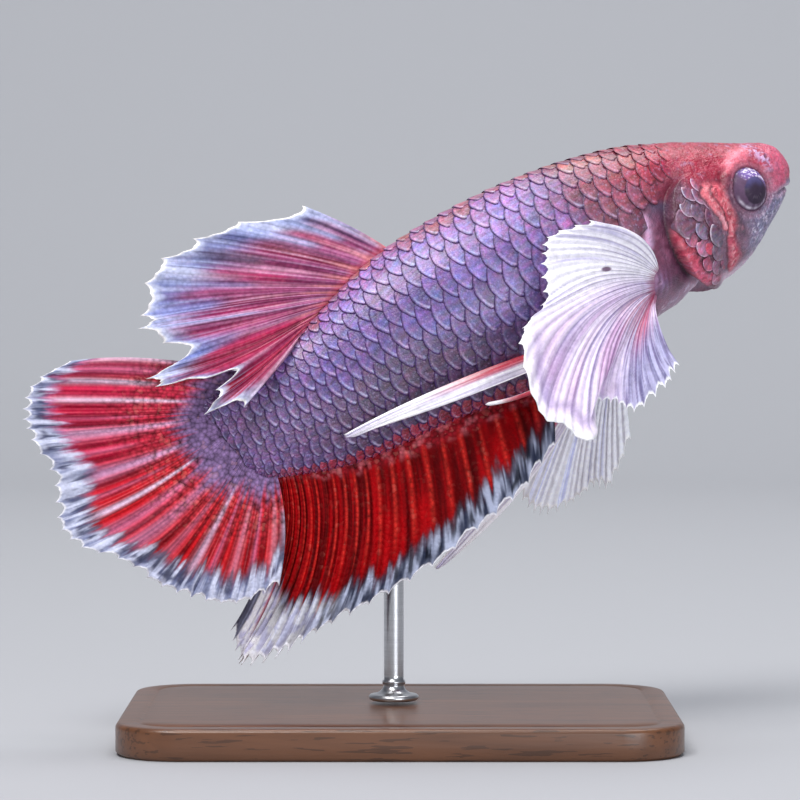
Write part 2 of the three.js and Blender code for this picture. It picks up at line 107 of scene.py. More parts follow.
def mist(p, seed=0):
    """Layered noise over points in space, from 0 to 1, centred on a half."""
    total = 0
    for scale, weight in ((1.0, 4), (2.1, 2), (4.3, 1)):
        q = p * scale + seed * 3.7
        level = np.floor(q[..., 2])
        low = noise(q[..., 0], q[..., 1], seed + level % 97 * 1.3)
        high = noise(q[..., 0], q[..., 1], seed + (level + 1) % 97 * 1.3)
        f = smooth(0, 1, q[..., 2] - level)
        total = total + weight * (low + (high - low) * f)
    return np.clip(0.5 + 1.25 * (total / 7 - 0.5), 0, 1)


def row_at(rows, place):
    """The smooth curve through a list of equal rows, at places counted in rows."""
    rows, place = np.asarray(rows, float), np.asarray(place, float)
    last = len(rows) - 1
    padded = np.concatenate([2 * rows[:1] - rows[1:2], rows, 2 * rows[-1:] - rows[-2:-1]])
    i = np.clip(np.floor(place).astype(int), 0, last - 1)
    f = (place - i).reshape(place.shape + (1,) * (rows.ndim - 1))
    a, b, c, d = (padded[i + k] for k in range(4))
    return 0.5 * (2 * b + (c - a) * f + (2 * a - 5 * b + 4 * c - d) * f**2 + (3 * b - a - 3 * c + d) * f**3)


def curve(points, steps=6):
    return row_at(points, np.linspace(0, len(points) - 1, (len(points) - 1) * steps + 1))


def to_path(x, z, path):
    """Distance to a path, the share of the path travelled there, and the side (+1 is left of travel)."""
    steps = np.linalg.norm(np.diff(path, axis=0), axis=1)
    starts = np.concatenate([[0], np.cumsum(steps)])
    best = np.full(np.shape(x), 1e9)
    share, side = np.zeros(np.shape(x)), np.ones(np.shape(x))
    for a, b, step, start in zip(path[:-1], path[1:], steps, starts):
        d = b - a
        f = np.clip(((x - a[0]) * d[0] + (z - a[1]) * d[1]) / step**2, 0, 1)
        away = np.hypot(x - a[0] - f * d[0], z - a[1] - f * d[1])
        nearer = away < best
        best = np.where(nearer, away, best)
        share = np.where(nearer, (start + f * step) / starts[-1], share)
        side = np.where(nearer, np.sign(d[0] * (z - a[1]) - d[1] * (x - a[0]) + 1e-12), side)
    return best, share, side


# ---------- the body's form ----------

# Stations from the tail end to the snout: dorsal x and z, ventral x and z, y of the middle,
# half the width, and how square the upper and lower halves are.
STATIONS = [
    [-15.9, 26.6, -12.0, 21.6, -2.4, 0.35, 2.0, 2.0],
    [-15.3, 27.4, -10.5, 20.9, -2.4, 0.7, 2.0, 2.0],
    [-12.9, 29.0, -7.9, 21.1, -2.1, 1.4, 2.0, 1.8],
    [-9.9, 31.0, -4.8, 21.6, -1.8, 2.0, 2.0, 1.8],
    [-7.2, 33.3, -1.2, 22.8, -1.4, 2.8, 2.0, 1.7],
    [-4.0, 36.8, 2.4, 24.5, -1.0, 3.5, 2.0, 1.7],
    [-1.2, 39.2, 5.6, 25.8, -0.6, 4.0, 2.0, 1.75],
    [2.4, 41.5, 9.2, 27.1, -0.2, 4.4, 2.0, 1.85],
    [6.4, 43.6, 12.8, 28.4, 0.3, 4.7, 2.05, 2.0],
    [10.4, 45.3, 16.4, 30.3, 0.9, 4.8, 2.1, 2.1],
    [14.0, 46.5, 19.3, 32.3, 1.7, 4.8, 2.15, 2.1],
    [17.3, 47.3, 21.6, 33.9, 2.6, 4.7, 2.2, 2.1],
    [20.2, 47.6, 23.9, 35.4, 3.5, 4.6, 2.3, 2.1],
    [23.1, 47.7, 25.6, 36.2, 4.3, 4.4, 2.35, 2.1],
    [25.6, 47.7, 27.5, 37.6, 5.0, 3.9, 2.35, 2.1],
    [27.6, 47.7, 28.9, 39.4, 5.6, 3.3, 2.3, 2.1],
    [29.3, 47.7, 30.0, 41.3, 6.1, 2.65, 2.25, 2.1],
    [30.35, 47.35, 30.75, 42.8, 6.5, 2.0, 2.15, 2.1],
    [31.05, 46.75, 31.2, 43.65, 6.7, 1.3, 2.1, 2.1],
    [31.35, 45.7, 31.45, 44.45, 6.85, 0.25, 2.0, 2.0],
]
SNOUT = len(STATIONS) - 1


def middle(t):
    r = row_at(STATIONS, t)
    return np.stack([(r[..., 0] + r[..., 2]) / 2, r[..., 4], (r[..., 1] + r[..., 3]) / 2], -1)


def section(t):
    t = np.asarray(t, float)
    r = row_at(STATIONS, t)
    up = np.stack([r[..., 0] - r[..., 2], 0 * t, r[..., 1] - r[..., 3]], -1)
    height = np.linalg.norm(up, axis=-1)
    up = up / height[..., None]
    forward = middle(np.minimum(SNOUT, t + 0.05)) - middle(np.maximum(0, t - 0.05))
    left = np.cross(up, forward)
    left /= np.linalg.norm(left, axis=-1)[..., None]
    return up, left, height / 2, r[..., 5], r[..., 6], r[..., 7]


def body_point(t, degrees, grow=0.0):
    """A point of the body. The angle runs from the back (0) over the right side (90) to the belly (180)."""
    t, degrees = np.broadcast_arrays(np.asarray(t, float), np.asarray(degrees, float))
    up, left, half_height, half_width, crown, keel = section(t)
    rise, reach = np.cos(np.radians(degrees)), np.sin(np.radians(degrees))
    power = 2 / np.where(rise > 0, crown, keel)
    h = np.sign(rise) * np.abs(rise) ** power * (half_height + grow)
    w = np.sign(reach) * np.abs(reach) ** power * (half_width + grow)
    return middle(t) + up * h[..., None] - left * w[..., None]


def body_normal(t, degrees):
    t, degrees = np.broadcast_arrays(np.asarray(t, float), np.asarray(degrees, float))
    low, high = np.maximum(t - 0.04, 0), np.minimum(t + 0.04, SNOUT - 0.02)
    along = body_point(high, degrees) - body_point(low, degrees)
    around = body_point(t, degrees + 1.5) - body_point(t, degrees - 1.5)
    n = np.cross(around, along)
    n /= np.maximum(np.linalg.norm(n, axis=-1), 1e-9)[..., None]
    outward = np.sum(n * (body_point(t, degrees) - middle(t)), -1)
    return n * np.where(outward < 0, -1, 1)[..., None]


def folded(degrees):
    """The angle from the back, 0 to 180, the same on both sides."""
    return np.abs((np.asarray(degrees, float) + 180) % 360 - 180)


def side_view(t, degrees):
    """x and z of the same place on the right side, so that a line drawn once falls on both sides."""
    p = body_point(t, folded(degrees))
    return p[..., 0], p[..., 2]


# ---------- the head's lines, as x and z of the right side ----------

GILL_EDGE = curve([
    (23.6, 45.3), (22.4, 44.8), (21.7, 43.9), (21.5, 42.9), (21.55, 41.9), (21.7, 40.9),
    (22.05, 39.7), (22.55, 38.5), (23.15, 37.4), (23.95, 36.45), (25.1, 35.95), (26.4, 36.3)])
RIDGE_REAR = curve([(24.5, 43.55), (24.9, 42.9), (25.3, 42.2), (25.75, 41.6), (26.05, 40.75)])
RIDGE_FRONT = curve([(25.3, 43.65), (25.85, 42.8), (26.25, 41.85), (26.5, 40.95), (26.55, 40.1)])
RIDGE_LOWER = curve([(26.45, 40.05), (26.6, 39.4), (26.7, 38.8), (26.7, 38.2), (26.55, 37.6)])
CHEEK_FOLD = curve([(26.1, 44.9), (26.2, 43.8), (26.5, 42.6), (27.0, 41.5), (27.4, 40.7)])
ORBIT_FOLD = curve([(26.5, 44.6), (26.5, 45.9), (27.1, 46.6), (28.1, 46.9), (29.1, 46.5), (29.8, 45.6)])
MOUTH = curve([(31.9, 44.2), (31.3, 44.05), (30.8, 43.75), (30.35, 43.45), (29.9, 43.35)])
FLANK_STREAK = curve([(19.5, 41.5), (19.8, 40.5), (19.9, 39.4)])
SNOUT_STREAK = curve([(27.9, 47.4), (28.8, 46.9), (29.5, 46.2)])
NOSTRIL = (29.5, 46.5)
FIN_ROOT = (20.7, 36.3)

# Path, half width, how much it narrows, height, colour. One that doesn't narrow is widest in its middle.
RIDGES = [
    (RIDGE_REAR, 0.4, 0.62, 0.17, (232, 112, 124)),
    (RIDGE_FRONT, 0.38, 0.5, 0.15, (228, 92, 108)),
    (RIDGE_LOWER, 0.34, 0.0, 0.15, (194, 74, 98)),
]

# The eyeball's place from the middle of its station, its turn forwards, its radius and its depth.
EYE_STATION = 14.25
EYE_OFFSET = 2.35
EYE_LIFT = 0.75
EYE_TURN = 15
EYE_RADIUS = 2.1
EYE_DEPTH = 1.68
LID = 1.72

# ---------- the colours of the body and head ----------

LAVENDER = rgb(152, 124, 188)
VIOLET = rgb(110, 90, 150)
LOW_GREY = rgb(88, 68, 98)
STALK = rgb(108, 78, 126)
BACK = rgb(168, 100, 124)
SHOULDER = rgb(140, 80, 96)
NAPE = rgb(158, 66, 82)
FLANK_BROWN = rgb(136, 84, 104)
CROWN = rgb(160, 36, 62)
SNOUT_PINK = rgb(212, 98, 126)
CHEEK = rgb(132, 98, 118)
JAW = rgb(152, 144, 176)
MAROON = rgb(98, 52, 76)
BREAST = rgb(152, 120, 144)
CHIN = rgb(214, 186, 204)
OUTLINE = rgb(72, 38, 104)
# PALE is the colour of the painted highlight just inside each scale's free edge.
PALE = rgb(226, 220, 250)


def body_tint(t, degrees):
    """Lavender above, grey below, a redder back, a brown shoulder and a red strip over the anal fin."""
    a = folded(degrees)
    n = cloud(t * 1.1, a * 0.06, 3)
    rear = fade(4.0, 9.0, t)
    c = mix(LAVENDER, VIOLET, smooth(50 - 26 * rear, 100 - 30 * rear, a + 30 * (n - 0.5)))
    c = mix(c, LOW_GREY, smooth(84 - 20 * rear, 140 - 30 * rear, a))
    c = mix(c, STALK, fade(1.5, 4.5, t))
    c = mix(c, BACK, fade(8, 34, a + 16 * (n - 0.5)) * smooth(1.5, 4.5, t) * 0.85)
    c = mix(c, SHOULDER, smooth(8.0, 9.8, t + 1.2 * (n - 0.5)) * (1 - 0.35 * smooth(90, 140, a)))
    low = mix(FLANK_BROWN, MAROON, smooth(80, 104, a) * 0.75)
    low = mix(low, BREAST, smooth(128, 160, a))
    front = mix(np.broadcast_to(NAPE, c.shape), low, smooth(52, 84, a))
    c = mix(c, front, smooth(9.4, 11.2, t + 0.8 * (n - 0.5)))
    anal_base = smooth(146, 160, a) * smooth(0.5, 2, t) * fade(8, 9.5, t)
    return mix(c, rgb(164, 48, 64), anal_base * 0.85)


def head_look(t, degrees):
    """How far the skin stands off the plain body, its colour, its grain, and where the cheek ridges are."""
    at = SimpleNamespace(t=t, a=folded(degrees), p=body_point(t, degrees))
    at.x, at.z = side_view(t, degrees)
    at.broad, at.n, at.fine = mist(at.p * 1.1, 5), mist(at.p * 2.4, 7), mist(at.p * 4.6, 9)
    at.head = smooth(10.9, 12.0, t)
    at.under = smooth(142, 160, at.a)
    at.jaw = smooth(13.5, 14.7, t + 0.8 * (at.broad - 0.5)) * smooth(90, 112, at.a)
    h = at.head * (0.09 * (at.n - 0.5) + 0.06 * (at.fine - 0.5))
    c = head_ground(at, body_tint(t, degrees))
    grain = np.clip(0.2 + 0.3 * at.head + 0.5 * at.jaw, 0, 1) * np.ones(np.shape(at.a))
    h, c, recess = add_gill_cover(at, h, c)
    h, c, ridge = add_cheek_ridges(at, h, c)
    h, c = add_eye_folds(at, h, c)
    h, c = add_snout(at, h, c)
    h, c = add_fin_root(at, h, c)
    return h, c, grain * (1 - 0.9 * recess), ridge


def head_ground(at, c):
    """The red crown with a painted pink highlight on top, grey cheek, pale jaw and pink snout, with their
    mottling and the jaw's white flecks.
    """
    t, a, p, head, jaw, n, fine = at.t, at.a, at.p, at.head, at.jaw, at.n, at.fine
    c = mix(c, CROWN, head * fade(62, 92, a))
    c = mix(c, CHEEK, head * smooth(66, 96, a))
    c = mix(c, JAW, jaw)
    c = mix(c, SNOUT_PINK, smooth(14.8, 16.4, t) * fade(92, 112, a))
    c = mix(c, c * np.array([0.62, 0.55, 0.7]), head * smooth(0.5, 0.75, n) * 0.4)
    c = mix(c, c * 0.6, head * smooth(0.56, 0.72, fine) * 0.45)
    # Painted highlight: pink patches on the top of the head.
    rosy = fade(45, 88, a) * smooth(0.42, 0.65, 1 - n) * smooth(0.42, 0.6, fine)
    c = mix(c, rgb(220, 98, 124), head * rosy * 0.4)
    lilac = smooth(0.6, 0.75, at.broad) * fade(50, 80, a) * smooth(0.5, 0.65, n)
    c = mix(c, rgb(186, 150, 190), head * lilac * 0.4)
    squiggle = np.abs(mist(p * 2.6, 15) - 0.5)
    flecks = fade(0.012, 0.045, squiggle) * smooth(0.4, 0.56, mist(p * 2.0, 17))
    c = mix(c, c * 0.5, jaw * smooth(0.48, 0.64, 1 - fine) * 0.7)
    return mix(c, rgb(238, 232, 250), jaw * flecks * (0.6 + 0.4 * smooth(26.8, 28.6, at.x)) * 0.95)


def add_gill_cover(at, h, c):
    """The gill cover with its free rear edge and red lower band, the painted shade of the recess behind it
    and a painted shadow under its edge, and the chin.
    """
    t, x, z, n, fine, under = at.t, at.x, at.z, at.n, at.fine, at.under
    away, share, side = to_path(x, z, GILL_EDGE)
    s = away * side
    here = smooth(0.02, 0.2, share) * fade(0.93, 1.0, share)
    cover = smooth(-0.05, 0.12, s)
    h += 0.3 * cover * fade(0.8, 3.6, s) * here
    behind = (1 - cover) * here
    recess = behind * fade(1.0, 2.7, -s + 0.8 * (at.broad - 0.5)) * (1 - under)
    h -= behind * (0.55 * bell(s, 0.5) + 0.55 * fade(0.4, 2.8, -s))
    # Painted shade of the recess behind the gill cover: maroon, bluer higher up, darkest low down and redder
    # at its very top.
    hollow = mix(plain(MAROON, x), rgb(128, 78, 104), smooth(0.4, 0.75, n))
    hollow = mix(hollow, rgb(96, 88, 116), smooth(41.0, 43.0, z) * 0.8)
    hollow = mix(hollow, rgb(74, 44, 64), fade(36.5, 38.5, z) * 0.7)
    hollow = mix(hollow, rgb(148, 62, 82), smooth(42.7, 43.6, z) * 0.9)
    c = mix(c, hollow, recess * 0.95)
    # Painted shadow: a near-black line along the slit under the gill cover's free edge.
    c = mix(c, rgb(34, 10, 24), behind * bell(s, 0.3) * (1 - under) * (0.3 + 0.6 * smooth(0.3, 0.5, share)))
    chin = BREAST + (CHIN - BREAST) * smooth(11.4, 12.4, t)[..., None]
    c = mix(c, chin * (0.75 + 0.5 * n[..., None]), under * smooth(10.6, 11.4, t) * fade(13.5, 15, t))
    pale = smooth(0.58, 0.7, fine) * smooth(9.5, 10.5, t) * fade(13, 15, t)
    c = mix(c, rgb(214, 200, 220), under * pale * 0.6)
    streak = to_path(x, z, FLANK_STREAK)[0]
    c = mix(c, rgb(222, 178, 214), bell(streak, 0.4) * smooth(0.1, 0.4, n) * 0.95)
    plate = cover * fade(25.4, 26.4, x + 0.25 * (z - 40)) * here
    c = mix(c, two_tone((122, 86, 106), (88, 42, 60), smooth(0.4, 0.7, n)), plate)
    band = cover * fade(0.8, 1.3, s + 0.7 * (n - 0.5)) * fade(40.2, 41.2, z) * here * (1 - under)
    warm = two_tone((206, 72, 94), (220, 96, 128), fade(37.0, 39.0, z))
    c = mix(c, mix(warm, rgb(150, 40, 64), smooth(0.48, 0.72, fine) * 0.75), band)
    c = mix(c, rgb(238, 130, 142), band * bell(s - 0.16, 0.15) * smooth(0.4, 0.6, n) * 0.7)
    c = mix(c, rgb(196, 140, 168), band * smooth(0.6, 0.72, mist(at.p * 3.0, 19)) * 0.5)
    h += band * (0.12 * (n - 0.5) + 0.08 * (fine - 0.5))
    return h, c, recess


def add_cheek_ridges(at, h, c):
    """The bony ridges of the cheek: each slopes off softly ahead, and ends at a dark line of painted shade
    behind. Painted highlights lie along its top.
    """
    x, z, n, fine = at.x, at.z, at.n, at.fine
    ridge = np.zeros(np.shape(x))
    for path, width, taper, rise, colour in RIDGES:
        away, share, side = to_path(x, z, path)
        wide = width * (1 - taper * share) if taper else width * (0.55 + 0.5 * np.sin(math.pi * share))
        wide = wide * (0.85 + 0.3 * noise(share * 5, 1, 13))
        ahead = away * side - 0.25 * width * (noise(share * 4, 0, 12) - 0.5)
        off = np.where(ahead > 0, 0.6 * ahead, -ahead)
        h += rise * fade(0.3 * wide, 1.25 * wide, off) * (0.6 + 0.8 * fine)
        ridge = np.maximum(ridge, fade(wide, wide + 0.35, off))
        # Painted shade: a dark line at the foot of each ridge's steep rear side.
        c = mix(c, rgb(80, 28, 48), bell(off - wide * 1.4, wide * 0.36) * np.where(ahead > 0, 0.2, 0.85))
        shade = two_tone(colour, (158, 40, 62), smooth(0.5, 0.72, n) * 0.8)
        # Painted highlights: pale pink on the ridge's top, and a whiter line along the crest of the narrowing
        # ridges.
        shade = mix(shade, rgb(246, 176, 182), smooth(0.45, 0.66, fine) * bell(off, wide * 0.7) * 0.75)
        crest_highlight = bell(away * side + 0.35 * wide, 0.1) * smooth(0.35, 0.7, share) * (taper > 0.6)
        shade = mix(shade, rgb(240, 178, 190), crest_highlight * 0.8)
        blur = np.where(ahead > 0, 0.3, 0.0) * wide
        ragged = off + 0.25 * width * (fine - 0.5)
        c = mix(c, shade, 0.95 * fade(wide * 0.8 - blur, wide * 1.2 + blur + 0.06, ragged))
    return h, c, ridge


def add_eye_folds(at, h, c):
    """The fold from the eye down the cheek, with painted shade along it, and the coral fold over the eye."""
    away = to_path(at.x, at.z, CHEEK_FOLD)[0]
    h += 0.1 * bell(away, 0.3) - 0.12 * bell(away - 0.45, 0.2)
    # Painted shade: the skin darkened along the fold and its groove.
    c = mix(c, c * 0.6, bell(away, 0.75) * 0.75)
    c = mix(c, rgb(186, 120, 138), bell(away - 0.1, 0.22) * 0.35 * smooth(0.4, 0.6, 1 - at.n))
    away, share, _ = to_path(at.x, at.z, ORBIT_FOLD)
    h += 0.16 * bell(away, 0.42)
    coral = bell(away, 0.55) * fade(0.42, 0.75, share) * smooth(0.02, 0.2, share)
    c = mix(c, rgb(255, 142, 160), coral * (0.7 + 0.3 * smooth(0.4, 0.6, at.n)))
    violet = bell(away - 0.1, 0.3) * smooth(0.45, 0.7, share) * smooth(0.4, 0.6, at.fine)
    return h, mix(c, rgb(206, 170, 206), violet * 0.5)


def add_snout(at, h, c):
    """The streak beside the nostril, the nostril with painted shade in its pit, and the mouth as a groove
    between two lips with painted shade along it.
    """
    away = to_path(at.x, at.z, SNOUT_STREAK)[0]
    c = mix(c, rgb(206, 172, 214), bell(away, 0.34) * 0.85 * smooth(0.35, 0.6, at.fine))
    away = np.hypot(at.x - NOSTRIL[0], at.z - NOSTRIL[1])
    h += 0.08 * bell(away - 0.26, 0.1) - 0.3 * bell(away, 0.15)
    # Painted shade in the nostril's pit.
    c = mix(c, rgb(54, 26, 44), bell(away, 0.17))
    away, share, _ = to_path(at.x, at.z, MOUTH)
    front = smooth(15.5, 16.5, at.t)
    h += front * (0.07 * bell(away - 0.4, 0.25) - 0.26 * bell(away, 0.12)) * (1 - 0.5 * share)
    c = mix(c, rgb(200, 164, 186), front * bell(away - 0.2, 0.2) * 0.75)
    # Painted shade along the mouth's groove.
    return h, mix(c, rgb(70, 40, 58), front * bell(away, 0.09) * (0.8 - 0.4 * share))


def add_fin_root(at, h, c):
    """The pleated, fleshy root of the side fin, with painted shade in the grooves between its pleats."""
    away = np.hypot((at.x - FIN_ROOT[0]) / 1.1, at.z - FIN_ROOT[1])
    h += 0.5 * bell(away, 0.95)
    pleats = np.abs(np.sin(6.0 * (at.x - FIN_ROOT[0]) + 2 * at.n))
    h += 0.1 * bell(away, 0.95) * pleats
    # Painted shade: the darker tone fills the grooves between the raised pleats.
    return h, mix(c, two_tone((150, 116, 154), (92, 62, 92), 1 - pleats), bell(away, 1.0) * 0.85)


# ---------- meshes ----------


def grid_faces(rows, columns, wrap=False):
    """Quads over a grid of points, each corner as (row, column). A wrapped grid closes round its rows."""
    i, j = np.meshgrid(np.arange(rows - 1), np.arange(columns if wrap else columns - 1), indexing="ij")
    i, j = i.ravel(), j.ravel()
    corners = ((i, j), (i, j + 1), (i + 1, j + 1), (i + 1, j))
    return np.stack([np.stack(corner, -1) for corner in corners], 1)


def closed_sheet(rows, columns):
    """Faces of a thin sheet: one side, the other, whose points follow the first's, and the rim."""
    size = rows * columns
    quads = grid_faces(rows, columns)
    side = quads[..., 0] * columns + quads[..., 1]
    ring = np.concatenate([
        np.arange(columns), np.arange(1, rows) * columns + columns - 1,
        (rows - 1) * columns + np.arange(columns - 2, -1, -1), np.arange(rows - 2, 0, -1) * columns])
    after = np.roll(ring, -1)
    rim = np.stack([ring + size, after + size, after, ring], -1)
    return np.concatenate([side, side[:, ::-1] + size, rim])


def closed_tube(rings):
    """Rings closed by a hub at each end: points, quads as (row, column), quads as numbers, end triangles."""
    rows, columns = rings.shape[:2]
    quads = grid_faces(rows, columns, wrap=True)
    numbers = quads[..., 0] * columns + quads[..., 1] % columns
    points = np.concatenate([rings.reshape(-1, 3), [rings[0].mean(0), rings[-1].mean(0)]])
    k, last, hub = np.arange(columns), (rows - 1) * columns, np.full(columns, rows * columns)
    start = np.stack([hub, (k + 1) % columns, k], -1)
    end = np.stack([hub + 1, last + k, last + (k + 1) % columns], -1)
    return points, quads, numbers, np.concatenate([start, end])


def tube_values(values):
    """One row for each point of a closed tube: each hub takes the value of its ring's first point."""
    return np.concatenate([values.reshape(-1, values.shape[-1]), values[0, :1], values[-1, :1]])


def make_mesh(name, points, quads, uvs, tint, grain, material, triangles=None, triangle_uvs=None):
    """points in mm, quads as vertex numbers with a uv for each corner, tint and grain for each vertex."""
    triangles = np.zeros((0, 3), int) if triangles is None else np.asarray(triangles)
    triangle_uvs = np.zeros((0, 3, 2)) if triangle_uvs is None else triangle_uvs
    mesh = bpy.data.meshes.new(name)
    mesh.vertices.add(len(points))
    mesh.vertices.foreach_set("co", (points * MM).astype(np.float32).ravel())
    corners = np.concatenate([quads.ravel(), triangles.ravel()])
    mesh.loops.add(len(corners))
    mesh.loops.foreach_set("vertex_index", corners.astype(np.int32))
    starts = np.concatenate([np.arange(len(quads)) * 4, quads.size + np.arange(len(triangles)) * 3])
    mesh.polygons.add(len(starts))
    mesh.polygons.foreach_set("loop_start", starts.astype(np.int32))
    mesh.update(calc_edges=True)
    mesh.validate()
    mesh.shade_smooth()
    chart = np.concatenate([uvs.reshape(-1, 2), triangle_uvs.reshape(-1, 2)])
    mesh.uv_layers.new(name="OFBake").data.foreach_set("uv", chart.astype(np.float32).ravel())
    colours = np.c_[np.clip(tint, 0, 1), np.ones(len(points))]
    shade = mesh.attributes.new("tint", "FLOAT_COLOR", "POINT")
    shade.data.foreach_set("color", colours.astype(np.float32).ravel())
    amount = mesh.attributes.new("grain", "FLOAT", "POINT")
    amount.data.foreach_set("value", np.broadcast_to(grain, len(points)).astype(np.float32))
    mesh.materials.append(material)
    obj = bpy.data.objects.new(name, mesh)
    bpy.context.collection.objects.link(obj)
    return obj


def place(obj, slot, *nodes):
    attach(obj, "root")
    if nodes:
        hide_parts(*nodes)


# ---------- materials ----------


def join_or_set(tree, socket, value):
    if isinstance(value, bpy.types.NodeSocket):
        tree.links.new(value, socket)
    else:
        socket.default_value = value


def node(tree, kind, inputs=(), **settings):
    made = tree.nodes.new(kind)
    for key, value in settings.items():
        setattr(made, key, value)
    for key, value in dict(inputs).items():
        join_or_set(tree, made.inputs[key], value)
    return made


def blend(tree, kind, share, a, b):
    made = node(tree, "ShaderNodeMix", data_type="RGBA", blend_type=kind)
    for key, value in (("Factor_Float", share), ("A_Color", a), ("B_Color", b)):
        join_or_set(tree, next(s for s in made.inputs if s.identifier == key), value)
    return next(s for s in made.outputs if s.identifier == "Result_Color")


def maths(tree, kind, a, b=0.0, c=0.0):
    return node(tree, "ShaderNodeMath", {0: a, 1: b, 2: c}, operation=kind).outputs[0]


def material_base(name, roughness, metallic=0.0, coat=0.0, coat_roughness=0.1, specular=0.5):
    material = bpy.data.materials.new(name)
    material.use_nodes = True
    tree = material.node_tree
    shader = tree.nodes["Principled BSDF"]
    shader.inputs["Roughness"].default_value = roughness
    shader.inputs["Metallic"].default_value = metallic
    shader.inputs["Coat Weight"].default_value = coat
    shader.inputs["Coat Roughness"].default_value = coat_roughness
    shader.inputs["Specular IOR Level"].default_value = specular
    return material, tree, shader


def bump(tree, shader, height, strength, distance):
    made = node(tree, "ShaderNodeBump", {"Height": height, "Strength": strength, "Distance": distance})
    tree.links.new(made.outputs["Normal"], shader.inputs["Normal"])


def living(name, cell, contrast, dome, fleck, fleck_share, relief, hue=0.0, **base):
    """Skin, scale or fin: the mesh's own tint, broken into fine cells (cell is their size in mm).

    Cells differ by contrast and darken to their rims by dome, as far as the mesh's grain allows. Some are
    flecks of another colour, hue swings the whole between redder and bluer patches, and relief is bump.
    """
    material, tree, shader = material_base(name, **base)
    tint = node(tree, "ShaderNodeAttribute", attribute_name="tint").outputs["Color"]
    grain = node(tree, "ShaderNodeAttribute", attribute_name="grain").outputs["Fac"]
    where = node(tree, "ShaderNodeTexCoord").outputs["Object"]
    cells = node(tree, "ShaderNodeTexVoronoi", {"Vector": where, "Scale": 1 / (cell * MM)})
    luck = node(tree, "ShaderNodeSeparateColor", {"Color": cells.outputs["Color"]}).outputs
    wide = {"Vector": where, "Scale": 0.3 / (cell * MM)}
    drift = node(tree, "ShaderNodeTexNoise", {**wide, "Detail": 4.0}).outputs["Fac"]

    swing = maths(tree, "MULTIPLY", maths(tree, "SUBTRACT", luck[0], 0.5), contrast)
    swing = maths(tree, "MULTIPLY_ADD", maths(tree, "SUBTRACT", 0.42, cells.outputs["Distance"]), dome, swing)
    lift = maths(tree, "MULTIPLY_ADD", swing, grain, maths(tree, "MULTIPLY_ADD", drift, 0.6, 0.7))
    value = node(tree, "ShaderNodeCombineXYZ", {"X": lift, "Y": lift, "Z": lift}).outputs[0]
    colour = blend(tree, "MULTIPLY", 1.0, tint, value)

    chance = maths(tree, "MULTIPLY_ADD", drift, 0.5, luck[1])
    bright = maths(tree, "MULTIPLY", maths(tree, "GREATER_THAN", chance, 1.14), grain)
    colour = blend(tree, "MIX", maths(tree, "MULTIPLY", bright, fleck_share), colour, (*fleck, 1.0))

    patches = node(tree, "ShaderNodeTexNoise", {**wide, "Detail": 3.0, "W": 3.0}, noise_dimensions="4D")
    sway = node(tree, "ShaderNodeMapRange", {
        "Value": patches.outputs["Fac"], "From Min": 0.38, "From Max": 0.62})
    redder = (1 + hue, 1 - 0.75 * hue, 1 - 0.15 * hue, 1)
    bluer = (1 - hue, 1 + 0.1 * hue, 1 + 0.7 * hue, 1)
    cast = blend(tree, "MIX", sway.outputs["Result"], redder, bluer)
    tree.links.new(blend(tree, "MULTIPLY", 1.0, colour, cast), shader.inputs["Base Color"])

    hills = maths(tree, "MULTIPLY", cells.outputs["Distance"], -1.0)
    height = maths(tree, "ADD", hills, maths(tree, "MULTIPLY", drift, 1.2))
    bump(tree, shader, height, relief, cell * MM * 0.5)
    return material


# ---------- the skin ----------

SIDES = {"right": 1, "left": -1}
SKIN_COLUMNS = 390
# Stations between which the skin's rows lie closest together, and the rows behind, between and ahead of them.
FINE_FROM = 9.4
FINE_TO = 18.2
SKIN_ROWS = (36, 195, 20)


def skin_depth(t):
    """How far the skin lies under the scales' outer face: it comes up to the surface on the head."""
    return 0.27 * fade(10.6, 12.6, t) + 0.02


def eye_frame(side):
    """The eyeball's centre, and its directions up, outwards and rearwards. side is 1 for the right eye."""
    up, left, *_ = section(EYE_STATION)
    turn = math.radians(side * EYE_TURN)
    away = -side * left
    axis = away * math.cos(turn) + np.cross(up, away) * math.sin(turn)
    rearward = np.cross(axis, up) * side
    centre = middle(EYE_STATION) - left * side * EYE_OFFSET + up * EYE_LIFT
    return centre, up, axis, rearward


def eye_surface(radius):
    """How far the eyeball reaches along its axis, at a distance from the axis."""
    return EYE_DEPTH * np.sqrt(np.clip(1 - (radius / EYE_RADIUS) ** 2, 0, 1))


def open_eyelid(points, tint, side):
    """Lays the skin round the eye on the eyeball as a lid, and sinks what is inside the lid out of sight. It
    paints shade in a ring at the lid's edge and on the skin behind the eye.
    """
    centre, up, axis, rearward = eye_frame(side)
    out = points - centre
    reach = out @ axis
    radius = np.linalg.norm(out - reach[..., None] * axis, axis=-1)
    near = (reach > -1.5) * fade(2.2, 3.1, radius)
    lift = (out @ up) / np.maximum(radius, 0.01)
    open_to = LID + 0.13 * smooth(0.3, 1.0, lift)
    sunk = eye_surface(radius) - 0.3 * smooth(0, 0.16, open_to - radius) - 0.02
    rim = eye_surface(open_to) + 0.06 + 0.1 * bell(radius - open_to - 0.16, 0.14)
    edge = fade(open_to + 0.1, 2.75, radius)
    target = reach * (1 - edge) + np.where(radius < open_to, sunk, rim) * edge
    # Painted shade: a dark ring at the lid's edge, and a darker patch on the skin behind the eye.
    ring = near * bell(radius - open_to, 0.2)
    behind = smooth(0.0, 0.8, (out @ rearward) / np.maximum(radius, 0.01))
    dark = np.clip(ring * 0.45 + near * bell(radius - 2.05, 0.34) * behind * 0.6, 0, 1)
    tint = mix(tint, rgb(112, 70, 92), dark)
    tint = mix(tint, rgb(168, 122, 142), near * bell(radius - 2.15, 0.2) * (1 - behind) * 0.4)
    return points + axis * ((target - reach) * near)[..., None], tint


